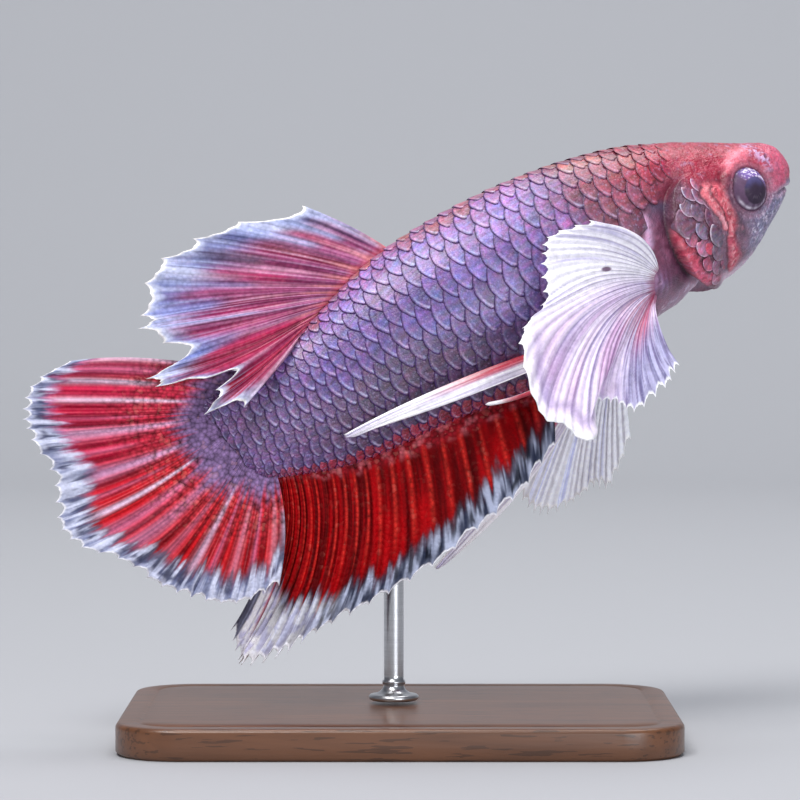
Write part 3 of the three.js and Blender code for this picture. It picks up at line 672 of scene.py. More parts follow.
def build_skin(material):
    """One closed tube from the tail to the snout, with its rows closest together on the head."""
    borders = (0, FINE_FROM, FINE_TO, SNOUT - 0.02)
    spans = [np.linspace(*span) for span in zip(borders[:-1], borders[1:], SKIN_ROWS)]
    stations = np.concatenate([spans[0][:-1], spans[1][:-1], spans[2]])
    degrees = 180 + np.arange(SKIN_COLUMNS) * 360 / SKIN_COLUMNS
    t, a = np.meshgrid(stations, degrees, indexing="ij")
    h, tint, grain, _ = head_look(t, a)
    rings = body_point(t, a) + body_normal(t, a) * (h - skin_depth(t))[..., None]
    for side in SIDES.values():
        rings, tint = open_eyelid(rings, tint, side)
    points, quads, numbers, ends = closed_tube(rings)
    uvs = np.stack([quads[..., 1] / SKIN_COLUMNS, stations[quads[..., 0]] / SNOUT], -1)
    k = np.arange(SKIN_COLUMNS)
    fan = np.stack([k + 0.5, k + 1, k], -1) / SKIN_COLUMNS
    tail_uv = np.stack([fan, np.broadcast_to([-0.004, 0, 0], fan.shape)], -1)
    nose_uv = np.stack([fan[:, [0, 2, 1]], np.broadcast_to([1.0, 0.999, 0.999], fan.shape)], -1)
    end_uvs = np.concatenate([tail_uv, nose_uv])
    obj = make_mesh("fish_skin", points, numbers[:, ::-1], uvs[:, ::-1], tube_values(tint),
                    np.concatenate([grain.ravel(), [0.5, 0.5]]), material, ends[:, ::-1], end_uvs[:, ::-1])
    place(obj, "skin", "head", "lower_jaw", "gill_cover_right", "gill_cover_left", "trunk", "tail_stalk")


# ---------- the scales ----------

# Rows of a scale's grid, as distances in from the free edge (mm), then shares of the way to the root.
RIM_STEPS = np.array([0.0, 0.05, 0.11, 0.16, 0.24, 0.4])
ROOT_STEPS = np.array([0.3, 0.6, 0.85, 1.0])
SCALE_ROWS = len(RIM_STEPS) + len(ROOT_STEPS)
FAN_COLUMNS = 13
# A scale with a smaller half width than this has a narrower rim too.
RIM_FULL_AT = 1.1
FAN_HALF = math.radians(74)
SCALE_HALF_WIDTH = 0.81
SCALE_THICKNESS = 0.05
SCALE_EDGE_THICKNESS = 0.025
WALK_REACH = 72
WALK_STEP = 4.0
SCALE_CHART = 0.003


def scale_grid(half, length, roundness):
    """One grid over each scale: mm across it, mm from its root to its tip, and mm in from its free edge."""
    fan = np.linspace(-FAN_HALF, FAN_HALF, FAN_COLUMNS)[None, None, :]
    rim = RIM_STEPS[None, :, None] * np.minimum(1, half / RIM_FULL_AT)
    across = (half - 0.8 * rim) * np.sin(fan) / math.sin(FAN_HALF)
    blunt = 0.24 * half
    chevron = 0.4 * (np.hypot(across, blunt) - blunt) + 0.45 * half * (1 - np.cos(fan)) ** 3
    along = length - rim - chevron * (1 - roundness) - half * (1 - np.cos(fan)) * roundness
    share = ROOT_STEPS[None, :, None]
    root_across = 0.6 * half * np.sin(fan) / math.sin(FAN_HALF)
    across = np.concatenate([across, across[:, -1:] * (1 - share) + root_across * share], 1)
    along = np.concatenate([along, along[:, -1:] * (1 - share)], 1)
    n = len(half)
    edge_gap = np.concatenate([np.broadcast_to(rim, (n, len(RIM_STEPS), FAN_COLUMNS)),
                               np.full((n, len(ROOT_STEPS), FAN_COLUMNS), 0.6)], 1)
    return across, along, edge_gap


def walk_round(t0, d0, row, down):
    """Station and angle that lie row mm forward and down mm round the body, so that a scale bends with it."""
    side = np.where(d0 < 0, -1.0, 1.0)
    offsets = np.arange(-WALK_REACH, WALK_REACH + 1, WALK_STEP)
    at = side * (np.abs(d0) + offsets[None, :])
    tt = np.broadcast_to(t0, at.shape)
    along_t = (body_point(tt + 0.03, at) - body_point(tt - 0.03, at)) / 0.06
    around = (body_point(tt, at + 0.5) - body_point(tt, at - 0.5)) * side[..., None]
    pace = np.linalg.norm(along_t, axis=-1)
    slip = np.sum(around * along_t, -1) / pace
    step = np.sqrt(np.maximum(np.sum(around**2, -1) - slip**2, 1e-9))
    start = np.zeros((len(t0), 1))
    arcs = np.concatenate([start, np.cumsum((step[:, 1:] + step[:, :-1]) / 2 * WALK_STEP, 1)], 1)
    slips = np.concatenate([start, np.cumsum((slip[:, 1:] + slip[:, :-1]) / 2 * WALK_STEP, 1)], 1)
    mid = len(offsets) // 2
    arcs, slips = arcs - arcs[:, mid:mid + 1], slips - slips[:, mid:mid + 1]
    swing, drift = np.empty(down.shape), np.empty(down.shape)
    for k in range(len(t0)):
        swing[k] = np.interp(down[k], arcs[k], offsets)
        drift[k] = np.interp(down[k], arcs[k], slips[k])
    t = np.clip(t0[..., None] + (row - drift) / pace[:, mid][:, None, None], 0.0, SNOUT - 0.1)
    return t, side[..., None] * (np.abs(d0)[..., None] + swing)


def scale_tints(scales, reach, lines):
    """Each scale's colours: painted shade at the front, where the one before it lies over it, redder above,
    with an outline and a painted highlight just inside its free edge, strongest on its lower side.
    """
    n = len(reach)
    rng = np.random.default_rng(n)
    fan = np.linspace(-FAN_HALF, FAN_HALF, FAN_COLUMNS)[None, None, :]
    below = fan / FAN_HALF * np.ones(lines.shape)
    tint = np.broadcast_to(scales["tint"][:, None, None, :], (*lines.shape, 3))
    # Painted shade: darker towards the root, where the scale before lies over it.
    tint = tint * (0.72 + 0.38 * smooth(0.35, 0.9, reach))[..., None]
    tint = tint * rng.normal(1, 0.12, (n, 1, FAN_COLUMNS, 1)) * rng.normal(1, 0.12, (*lines.shape, 1))
    tint = tint * rng.normal(1, 0.07, (*lines.shape, 3)) * rng.normal(1, 0.06, (n, 1, FAN_COLUMNS, 3))
    blush = scales["blush"][:, None, None, None] * (-below[..., None])
    tint = tint * (1 + np.array([0.16, -0.14, -0.04]) * blush)
    # Painted highlight: a pale line just inside the free edge, strongest on the lower side.
    pale = smooth(-0.4, 0.7, below) * rng.uniform(0.2, 1, (n, 1, 1)) * (0.6 + 0.5 * rng.random(lines.shape))
    inner_highlight = np.clip(bell(lines - 0.24, 0.08) * (0.05 + 0.75 * pale), 0, 1)
    tint = mix(tint, scales["line"][:, None, None, :], inner_highlight)
    worn = noise(fan * 1.7 + np.arange(n)[:, None, None] * 5.3, 0, 33)
    worn = smooth(0.3, 0.6, worn) * np.ones(lines.shape)
    outline = fade(0.06, 0.18, lines) * (1 - scales["broken"][:, None, None] * (1 - worn) * 0.85)
    return mix(tint, scales["edge"][:, None, None, :], outline)


def lay_scales(name, scales, material):
    """Lays one solid scale for each entry of scales, a dict of equal arrays.

    t and degrees are its place, pitch the mm that show, spacing and length its size, turn the degrees it
    points down, tip and root the heights of its ends, round and broken its outline, and tint, edge and line
    its colours, line being that of the painted highlight just inside the free edge.
    """
    n = len(scales["t"])
    t0, d0 = scales["t"][:, None], scales["degrees"][:, None]
    half, length, roundness, pitch, turn, tip, root = (
        scales[key][:, None, None] for key in ("spacing", "length", "round", "pitch", "turn", "tip", "root"))
    half = SCALE_HALF_WIDTH * half
    across, along, edge_gap = scale_grid(half, length, roundness)
    here = along - (length - 0.55 * pitch)
    turn = np.radians(turn)
    row = -here * np.cos(turn) + across * np.sin(turn)
    down = here * np.sin(turn) + across * np.cos(turn)
    t, degrees = walk_round(t0, d0, row, down)

    reach = np.clip(along / length, 0, 1)
    relief, ground, _, ridge = head_look(t, degrees)
    height = root + (tip - root) * reach - 0.02 * (edge_gap < 0.02) - 0.35 * ridge
    thick = np.where(edge_gap < 0.02, SCALE_EDGE_THICKNESS, SCALE_THICKNESS)
    base, normal = body_point(t, degrees), body_normal(t, degrees)
    top = base + normal * (relief + height)[..., None]
    bottom = base + normal * (relief + height - thick)[..., None]
    tint = scale_tints(scales, reach, edge_gap / np.minimum(1, half / RIM_FULL_AT))
    # Where a scale dives into the skin it takes the skin's colour.
    tint = np.clip(mix(ground, tint, smooth(0.0, 0.05, height + skin_depth(t))), 0, 1)

    one = closed_sheet(SCALE_ROWS, FAN_COLUMNS)
    count = SCALE_ROWS * FAN_COLUMNS
    faces = (one[None] + (np.arange(n) * 2 * count)[:, None, None]).reshape(-1, 4)
    mirrored = np.broadcast_to(d0[..., None] < 0, (n, len(one), 1)).reshape(-1)
    faces = np.where(mirrored[:, None], faces, faces[:, ::-1])
    patch = np.stack(np.meshgrid(np.arange(SCALE_ROWS) / (SCALE_ROWS - 1) - 0.5,
                                 np.arange(FAN_COLUMNS) / (FAN_COLUMNS - 1) - 0.5, indexing="ij")[::-1], -1)
    patch = patch.reshape(-1, 2) * SCALE_CHART
    home = np.stack([((d0.ravel() + 180) % 360) / 360, t0.ravel() / SNOUT], -1)
    uvs = (home[:, None, :] + np.concatenate([patch, patch])[None]).reshape(-1, 2)[faces]
    points = np.concatenate([top.reshape(n, -1, 3), bottom.reshape(n, -1, 3)], 1).reshape(-1, 3)
    tints = np.concatenate([tint.reshape(n, -1, 3)] * 2, 1).reshape(-1, 3)
    grain = np.broadcast_to(scales["grain"][:, None], (n, 2 * count)).ravel()
    place(make_mesh(name, points, faces, uvs, tints, grain, material), "skin")


# Scales lie in rows from the back to the belly on each side. Each row ends at its own station in front.
ROW_ANGLE = 15
ROW_SHIFT = 0.28
ROW_FRONTS = [13.6, 13.5, 13.3, 12.6, 11.25, 10.3, 9.6, 9.3, 9.5, 9.8, 10.1, 10.2]
FINER_ROWS = {10: 1.25, 11: 1.6}
LAST_ROW_NARROWER = 1.2
SCALE_PITCH = 1.27


def scale_places(rng):
    """The lattice of the body's scales, with each lower row set back towards the tail."""
    stations = np.linspace(0, SNOUT, 400)
    pitch = SCALE_PITCH * (2 * section(stations)[2] / 16) ** 0.75
    steps = np.linalg.norm(np.diff(body_point(stations, 90.0), axis=0), axis=1)
    count = np.concatenate([[0], np.cumsum(steps / ((pitch[1:] + pitch[:-1]) / 2))])
    found = {key: [] for key in ("t", "degrees", "pitch", "spacing")}
    for side in SIDES.values():
        for row, row_front in enumerate(ROW_FRONTS):
            angle = ROW_ANGLE * (row + 0.5)
            finer = FINER_ROWS.get(row, 1)
            numbers = np.arange(-2, count[-1] * finer + 2) / finer - ROW_SHIFT * row
            numbers = numbers + rng.normal(0, 0.025, len(numbers))
            places = np.interp(numbers, count, stations, left=-1, right=99)
            places = places[(places > 0.15) & (places < row_front)]
            spread = body_point(places, angle + ROW_ANGLE / 2) - body_point(places, angle - ROW_ANGLE / 2)
            found["t"].append(places)
            found["degrees"].append(side * (angle + rng.normal(0, 0.35, len(places))))
            found["pitch"].append(np.interp(places, stations, pitch) / finer)
            narrower = LAST_ROW_NARROWER if row == len(ROW_FRONTS) - 1 else 1
            found["spacing"].append(np.linalg.norm(spread, axis=1) / narrower)
    return {key: np.concatenate(value) for key, value in found.items()}


def body_scales():
    rng = np.random.default_rng(11)
    s = scale_places(rng)
    n, t, a = len(s["t"]), s["t"], folded(s["degrees"])
    s["spacing"] = np.maximum(s["spacing"], 0.9 * s["pitch"]) * rng.normal(1, 0.015, n)
    s["length"] = np.maximum(2.0 * s["pitch"], 1.15 * s["spacing"])
    s["turn"] = 9 * smooth(4, 30, a) * (1 - 0.8 * smooth(40, 90, a)) + rng.normal(0, 2.0, n)
    s["round"] = np.clip(0.14 + 0.3 * smooth(8.4, 10.4, t) + rng.normal(0, 0.05, n), 0, 1)
    s["broken"] = np.zeros(n)
    s["tip"] = 0.01 + rng.normal(0, 0.008, n) - 0.1 * smooth(10.8, 13.2, t)
    s["root"] = s["tip"] - 0.27
    tint = mix(body_tint(t, s["degrees"]), CROWN, smooth(10.4, 12.2, t) * fade(60, 90, a))
    tint = tint * rng.normal(1, 0.09, (n, 1)) * rng.normal(1, 0.03, (n, 3))
    warm = (rng.random(n) < 0.4) * fade(25, 60, a) * smooth(2.5, 4.5, t)
    tint = mix(tint, rgb(176, 104, 92), warm * rng.uniform(0.2, 0.75, n))
    s["tint"] = np.clip(tint, 0, 1)
    faint = smooth(8.2, 11.2, t)
    s["edge"] = mix(plain(OUTLINE, a) * 0.75 + s["tint"] * 0.1, s["tint"] * 0.5, faint * 0.85)
    # Each scale's painted highlight colour, for the line just inside its free edge.
    s["line"] = mix(s["tint"] * 0.2 + PALE * 0.8, s["tint"] * 1.1, faint * 0.7)
    s["blush"] = rng.uniform(0.2, 1.3, n) * fade(80, 120, a)
    s["grain"] = np.full(n, 1.0)
    return s


# Plates of the gill cover and cheek: x and z of the middle, visible length, width, pointing direction
# (degrees below straight back), height of the free edge, colour, colour of the free edge.
PLATES = [
    (22.5, 41.0, 1.5, 2.5, 4, 0.2, (124, 82, 102), (226, 210, 220)),
    (22.7, 42.1, 0.8, 1.6, 46, 0.15, (136, 112, 126), (200, 182, 196)),
    (23.55, 41.85, 0.95, 1.6, 26, 0.15, (122, 98, 116), (188, 170, 186)),
    (22.85, 43.25, 0.6, 1.7, 40, 0.1, (138, 90, 112), (216, 190, 208)),
    (23.75, 43.15, 0.8, 1.8, 34, 0.13, (150, 114, 136), (208, 184, 204)),
    (23.6, 44.1, 0.6, 1.5, 36, 0.09, (168, 108, 128), (222, 188, 206)),
    (24.6, 42.75, 0.8, 1.7, 32, 0.1, (146, 106, 128), (184, 154, 174)),
    (25.0, 41.45, 1.3, 2.4, 24, 0.09, (106, 64, 84), (140, 104, 122)),
    (25.35, 40.15, 1.35, 2.2, 16, 0.17, (112, 94, 110), (190, 182, 192)),
    (23.95, 40.5, 1.0, 1.7, 18, 0.11, (134, 118, 142), (180, 168, 192)),
    (23.1, 39.75, 0.9, 1.5, 34, 0.09, (168, 100, 126), (190, 150, 174)),
    (24.1, 39.2, 1.2, 1.6, 36, 0.13, (188, 124, 150), (216, 178, 198)),
    (24.7, 39.2, 0.9, 1.1, 24, 0.13, (200, 80, 100), (206, 124, 140)),
    (25.45, 38.8, 1.1, 1.8, 26, 0.11, (124, 98, 116), (176, 156, 170)),
    (24.55, 38.0, 1.0, 1.5, 34, 0.1, (180, 88, 112), (204, 142, 162)),
    (25.35, 37.75, 1.0, 1.5, 30, 0.1, (144, 98, 118), (178, 148, 164)),
    (26.05, 37.9, 0.8, 1.1, 30, 0.09, (136, 78, 98), (170, 126, 144)),
    (25.3, 36.85, 0.9, 1.6, 36, 0.08, (164, 112, 132), (192, 154, 170)),
    (25.1, 44.35, 0.6, 1.2, 40, 0.04, (172, 88, 106), (202, 148, 166)),
    (25.9, 44.2, 0.6, 1.1, 42, 0.05, (172, 98, 118), (210, 166, 184)),
    (24.3, 44.8, 0.5, 1.2, 36, 0.03, (172, 84, 102), (198, 138, 156)),
]
# A plate is this many times as wide as the spacing that it is laid with.
PLATE_SPREAD = 1.69


def cheek_plates():
    """The plates of both gill covers, found on the body by their places in the side view."""
    rng = np.random.default_rng(5)
    t, a = np.meshgrid(np.linspace(10.4, 14.2, 320), np.linspace(40, 175, 420), indexing="ij")
    x, z = side_view(t, a)
    nearest = [np.argmin(np.hypot(x - plate[0], z - plate[1])) for plate in PLATES]
    at = np.tile(nearest, 2)
    n = len(at)
    sign = np.repeat([1, -1], len(PLATES))
    pitch, wide, turn, tip = (np.array([plate[k] for plate in PLATES] * 2, float) for k in range(2, 6))
    tint, edge = (np.array([rgb(*plate[k]) for plate in PLATES] * 2) for k in (6, 7))
    return {
        "t": t.flat[at], "degrees": a.flat[at] * sign, "pitch": pitch, "spacing": wide / PLATE_SPREAD,
        "length": pitch + 0.75 * wide, "turn": turn + rng.normal(0, 4, n), "tip": tip, "root": tip - 0.32,
        # line is the colour of each plate's painted highlight just inside its free edge.
        "tint": tint, "edge": edge, "line": mix(tint, edge, np.full(n, 0.35)), "grain": np.full(n, 0.6),
        "blush": np.full(n, 0.4), "round": rng.uniform(0.55, 0.95, n), "broken": np.ones(n)}


# ---------- the eyes ----------

EYE_RINGS = 90
EYE_COLUMNS = 160
EYE_SWEEP = 150


def eye_tint(radius, polar, around):
    """A dark pupil in a brown iris, violet with silver flecks above, with a pale line along its lower rim."""
    hi, rear = np.cos(around), np.sin(around)
    n = cloud(radius * 7 + 9, around * 3.2, 21)
    wire = np.abs(noise(radius * 6.5 + 3 * hi, around * 7.5 + 3 * n, 23) - 0.5)
    spark = fade(0.06, 0.15, wire) * smooth(0.26, 0.44, n)
    strokes = smooth(0.45, 0.75, noise(around * 34 / math.pi, radius * 1.5, 4))
    pupil_at = np.hypot((radius * hi + 0.1) / 1.1, (radius * rear + 0.16) / 1.14)
    upper = smooth(0.3, 0.8, hi - 0.4 * rear) * smooth(0.96, 1.1, pupil_at)
    low_rim = bell(radius - 1.5, 0.09) * smooth(0.1, 0.6, -hi) * (0.45 + 0.55 * strokes)
    c = two_tone((88, 68, 92), (132, 116, 140), strokes * 0.45)
    c = mix(c, rgb(124, 98, 172), upper * 0.85)
    c = mix(c, rgb(244, 236, 254), upper * spark * 0.95)
    c = mix(c, rgb(96, 72, 98), smooth(0.1, 0.8, rear) * fade(0.7, 1.0, np.abs(hi)) * 0.9)
    c = mix(c, rgb(206, 196, 212), low_rim * (0.6 + 0.4 * smooth(-0.2, 0.5, rear)))
    c = mix(c, rgb(92, 64, 84), smooth(1.56, 1.74, radius) * (1 - 0.8 * smooth(0.4, 0.9, hi)))
    pupil = two_tone((60, 48, 66), (82, 76, 120), smooth(-0.1, 0.9, hi) * smooth(0.2, 0.9, radius))
    # Painted reflection: a lighter, streaked patch low in the pupil.
    pupil = mix(pupil, rgb(104, 92, 108), bell(radius - 0.66, 0.12) * smooth(0.3, 0.9, -hi) * strokes * 0.6)
    c = mix(c, pupil, fade(0.95, 1.05, pupil_at + 0.07 * (n - 0.5)))
    return mix(c, rgb(40, 26, 44), (polar > math.pi / 2) * 1.0)


def build_eye(word, side, material):
    """A flattened eyeball with a raised cornea. A hub closes it behind, inside the head."""
    centre, up, axis, rearward = eye_frame(side)
    polar = np.linspace(0.004, 1, EYE_RINGS) ** 0.9 * math.radians(EYE_SWEEP)
    around = np.arange(EYE_COLUMNS) * 2 * math.pi / EYE_COLUMNS
    polar, around = np.meshgrid(polar, around, indexing="ij")
    radius = EYE_RADIUS * np.sin(polar)
    cornea = 0.1 * fade(0.6, 1.5, radius) * (polar < math.pi / 2)
    out = EYE_DEPTH * np.cos(polar) + cornea
    rings = (centre + axis * out[..., None] + up * (radius * np.cos(around))[..., None]
             + rearward * (radius * np.sin(around))[..., None])
    points, quads, numbers, ends = closed_tube(rings)
    uv_radius = 0.48 * quads[..., 0] / (EYE_RINGS - 1)
    uv_angle = quads[..., 1] * 2 * math.pi / EYE_COLUMNS
    uvs = np.stack([0.5 + uv_radius * np.cos(uv_angle), 0.5 + uv_radius * np.sin(uv_angle)], -1)
    end_uvs = np.repeat([[0.5, 0.5], [0.98, 0.5]], 3 * EYE_COLUMNS, axis=0).reshape(-1, 3, 2)
    order = slice(None) if side > 0 else slice(None, None, -1)
    tint = tube_values(eye_tint(radius, polar, around))
    obj = make_mesh(f"eyeball_{word}", points, numbers[:, order], uvs[:, order], tint, 0.0, material,
                    ends[:, order], end_uvs)
    place(obj, "eye", f"eye_{word}")


# ---------- the fins ----------

# Each control ray is its base, middle and tip, as x, y, z. Rays follow each other round the fin.
DORSAL_RAYS = [
    [[-1.1, -0.6, 39.2], [-4.4, -1.0, 41.1], [-7.9, -1.4, 42.6]],
    [[-2.7, -0.8, 38.0], [-8.1, -1.6, 39.6], [-14.2, -2.4, 40.9]],
    [[-3.8, -0.9, 37.0], [-10.3, -1.9, 38.2], [-18.0, -2.6, 39.1]],
    [[-4.7, -1.0, 36.2], [-11.8, -2.2, 36.4], [-20.2, -3.0, 36.8]],
    [[-5.3, -1.1, 35.6], [-12.2, -2.6, 35.0], [-20.6, -3.7, 33.7]],
    [[-5.7, -1.1, 35.1], [-12.3, -3.0, 33.8], [-20.5, -4.2, 32.5]],
    [[-6.1, -1.2, 34.6], [-11.8, -3.4, 32.6], [-17.7, -4.8, 30.6]],
    [[-6.5, -1.2, 34.2], [-12.6, -4.0, 31.1], [-20.1, -6.2, 29.0]],
    [[-6.7, -1.3, 33.9], [-12.2, -4.1, 30.7], [-19.0, -6.2, 28.2]],
    [[-6.9, -1.3, 33.6], [-10.6, -4.1, 30.9], [-14.1, -5.6, 29.0]],
    [[-7.1, -1.4, 33.4], [-10.6, -4.2, 29.9], [-15.8, -5.6, 26.2]],
    [[-7.3, -1.4, 33.1], [-9.6, -4.4, 29.9], [-12.4, -5.6, 26.5]],
]
TAIL_RAYS = [
    [[-12.7, -2.4, 29.3], [-19.8, -2.8, 30.4], [-26.2, -3.2, 30.2]],
    [[-14.6, -2.4, 27.8], [-22.1, -3.0, 28.5], [-29.1, -3.6, 28.5]],
    [[-15.7, -2.4, 26.4], [-23.0, -3.3, 26.2], [-29.9, -4.1, 26.2]],
    [[-15.7, -2.4, 25.6], [-22.8, -3.1, 24.6], [-29.2, -4.1, 24.1]],
    [[-15.2, -2.4, 24.6], [-21.4, -2.9, 22.4], [-27.5, -3.6, 20.9]],
    [[-14.8, -2.4, 23.9], [-20.6, -3.0, 20.3], [-27.2, -3.6, 17.6]],
    [[-14.3, -2.4, 23.2], [-19.7, -3.2, 18.7], [-25.4, -4.2, 15.6]],
    [[-13.3, -2.4, 22.2], [-17.6, -3.2, 17.3], [-21.8, -4.0, 14.3]],
    [[-12.6, -2.3, 21.8], [-15.8, -3.0, 16.4], [-18.8, -3.4, 12.2]],
    [[-11.8, -2.3, 21.4], [-13.9, -2.9, 15.8], [-15.8, -3.4, 11.1]],
    [[-10.8, -2.2, 21.2], [-11.6, -2.9, 15.8], [-12.6, -3.4, 10.9]],
    [[-9.8, -2.2, 21.2], [-9.1, -2.9, 16.9], [-9.6, -3.4, 12.3]],
]
ANAL_RAYS = [
    [[-10.0, -1.8, 21.8], [-10.5, -0.8, 15.2], [-13.8, 0.2, 8.3]],
    [[-9.5, -1.8, 21.6], [-9.6, -1.0, 14.4], [-13.3, -0.4, 6.6]],
    [[-8.8, -1.8, 21.6], [-8.6, -1.2, 14.3], [-13.0, -1.4, 5.9]],
    [[-7.6, -1.8, 21.7], [-7.2, -1.8, 14.4], [-10.8, -2.8, 6.3]],
    [[-5.9, -1.7, 21.8], [-5.6, -2.2, 14.9], [-8.4, -3.4, 7.4]],
    [[-3.9, -1.5, 22.2], [-3.5, -2.2, 15.6], [-5.5, -3.0, 9.2]],
    [[-1.6, -1.3, 22.9], [-1.1, -2.2, 16.6], [-1.9, -2.8, 11.0]],
    [[1.4, -1.0, 24.0], [2.3, -1.7, 18.4], [2.2, -2.2, 13.4]],
    [[4.8, -0.7, 25.5], [5.8, -1.3, 20.8], [6.5, -1.8, 16.9]],
    [[8.2, -0.3, 26.9], [9.3, -0.7, 23.2], [9.8, -0.9, 19.6]],
    [[11.6, 0.1, 28.4], [12.3, 0.0, 26.4], [12.4, -0.2, 23.2]],
]
NEAR_PECTORAL_RAYS = [
    [[20.4, -1.4, 37.4], [19.0, -4.2, 39.9], [14.8, -6.6, 41.2]],
    [[20.4, -1.5, 37.1], [16.5, -5.0, 39.2], [11.4, -7.2, 40.0]],
    [[20.3, -1.6, 36.8], [15.7, -5.4, 37.8], [10.9, -7.4, 38.0]],
    [[20.2, -1.7, 36.4], [15.3, -6.0, 36.2], [11.0, -8.2, 34.9]],
    [[20.0, -1.8, 36.0], [14.9, -7.0, 34.6], [9.1, -10.2, 32.2]],
    [[19.9, -1.8, 35.7], [15.2, -7.4, 32.9], [10.5, -11.2, 27.2]],
    [[19.9, -1.8, 35.6], [15.8, -7.4, 31.8], [12.3, -11.2, 24.8]],
    [[19.9, -1.8, 35.4], [16.5, -7.2, 31.1], [14.5, -10.6, 24.0]],
    [[19.9, -1.8, 35.3], [17.1, -6.4, 31.0], [14.7, -8.0, 26.7]],
    [[19.9, -1.8, 35.1], [18.0, -6.0, 30.8], [16.5, -7.6, 26.9]],
    [[20.0, -1.7, 35.0], [19.0, -5.6, 31.0], [18.3, -8.2, 26.4]],
    [[20.2, -1.6, 34.9], [19.9, -5.0, 31.8], [20.8, -7.6, 28.1]],
    [[20.3, -1.5, 34.9], [20.6, -4.4, 32.6], [21.9, -6.4, 29.9]],
]
FAR_PECTORAL_RAYS = [
    [[19.2, 6.0, 37.7], [16.6, 8.8, 39.2], [12.9, 9.8, 40.2]],
    [[19.2, 6.0, 37.4], [15.8, 9.2, 36.9], [10.6, 11.0, 35.1]],
    [[19.1, 6.0, 37.1], [15.2, 9.4, 34.2], [9.1, 11.8, 29.5]],
    [[19.0, 6.0, 36.8], [14.8, 9.4, 31.6], [8.8, 12.2, 23.6]],
    [[18.9, 6.0, 36.4], [14.9, 9.2, 29.0], [10.0, 11.5, 18.2]],
    [[18.8, 5.9, 36.1], [15.2, 9.2, 27.7], [11.7, 11.5, 16.9]],
    [[18.8, 5.8, 35.9], [15.8, 9.4, 27.3], [14.0, 12.0, 17.6]],
    [[18.7, 5.7, 35.7], [16.8, 9.0, 28.0], [15.8, 10.8, 19.2]],
    [[18.7, 5.6, 35.5], [17.6, 8.5, 28.9], [17.3, 9.8, 19.3]],
    [[18.6, 5.5, 35.3], [18.4, 7.8, 30.4], [19.0, 9.0, 23.3]],
]
NEAR_PELVIC_RAYS = [
    [[17.9, 0.9, 33.0], [6.0, -4.6, 29.3], [-4.5, -5.0, 24.4]],
    [[17.6, 0.9, 32.7], [6.1, -4.8, 28.6], [-4.3, -5.0, 24.2]],
    [[17.3, 0.9, 32.4], [6.5, -4.8, 27.9], [-3.8, -5.0, 24.4]],
]
NEAR_FILAMENT_RAYS = [
    [[17.0, 0.6, 32.2], [12.0, -3.6, 28.5], [6.7, -4.8, 26.8]],
    [[17.0, 1.1, 32.2], [12.0, -3.1, 28.5], [6.7, -4.3, 26.8]],
]
FAR_PELVIC_RAYS = [
    [[17.3, 2.9, 32.9], [10.7, 3.6, 23.3], [2.7, 3.6, 13.2]],
    [[17.0, 2.9, 32.7], [11.3, 3.7, 22.8], [3.0, 3.6, 13.1]],
    [[16.8, 2.9, 32.5], [12.0, 3.7, 22.3], [3.5, 3.6, 13.4]],
]
FAR_FILAMENT_RAYS = [
    [[16.7, 2.7, 32.3], [13.1, 4.2, 26.6], [10.1, 4.6, 22.3]],
    [[16.7, 3.2, 32.3], [13.1, 4.7, 26.6], [10.1, 5.1, 22.3]],
]


def fin_point(rays, u, v):
    """A point of a fin's sheet: u counts control rays, v runs from 0 at the base to 1 at the tip."""
    u, v = np.broadcast_arrays(u, v)
    r = row_at(rays, u)
    v = v[..., None]
    base_and_bend = r[..., 0, :] * 2 * (v - 0.5) * (v - 1) + r[..., 1, :] * 4 * v * (1 - v)
    return base_and_bend + r[..., 2, :] * 2 * v * (v - 0.5)


def fin_normal(rays, u, v):
    last = len(rays) - 1
    across = fin_point(rays, np.minimum(last, u + 0.02), v) - fin_point(rays, np.maximum(0, u - 0.02), v)
    along = fin_point(rays, u, v + 0.02) - fin_point(rays, u, v - 0.02)
    n = np.cross(across, along)
    return n / np.maximum(np.linalg.norm(n, axis=-1), 1e-9)[..., None]


def ray_ridges(r, v, width, first, second):
    """Height of the ray lines, 0 to 1: each ray forks at the share first of its length, then at second."""
    gap = r - np.round(r)
    fork = 0.22 * smooth(first, first + 0.3, v)
    twig = 0.1 * smooth(second, second + 0.25, v)
    best = np.zeros(np.broadcast(r, v).shape)
    for a in (-1, 1):
        for b in (-1, 1):
            best = np.maximum(best, bell(gap - a * fork - b * twig, width))
    return best


def lip_share(share, lip):
    """1 between the two shares of the fin's width where its margin curls over, 0 outside them."""
    return smooth(lip[0] - 0.04, lip[0] + 0.04, share) * fade(lip[1] - 0.04, lip[1] + 0.04, share)


# A lip beyond the last ray, so there is none.
NO_LIP = (2.0, 2.0)


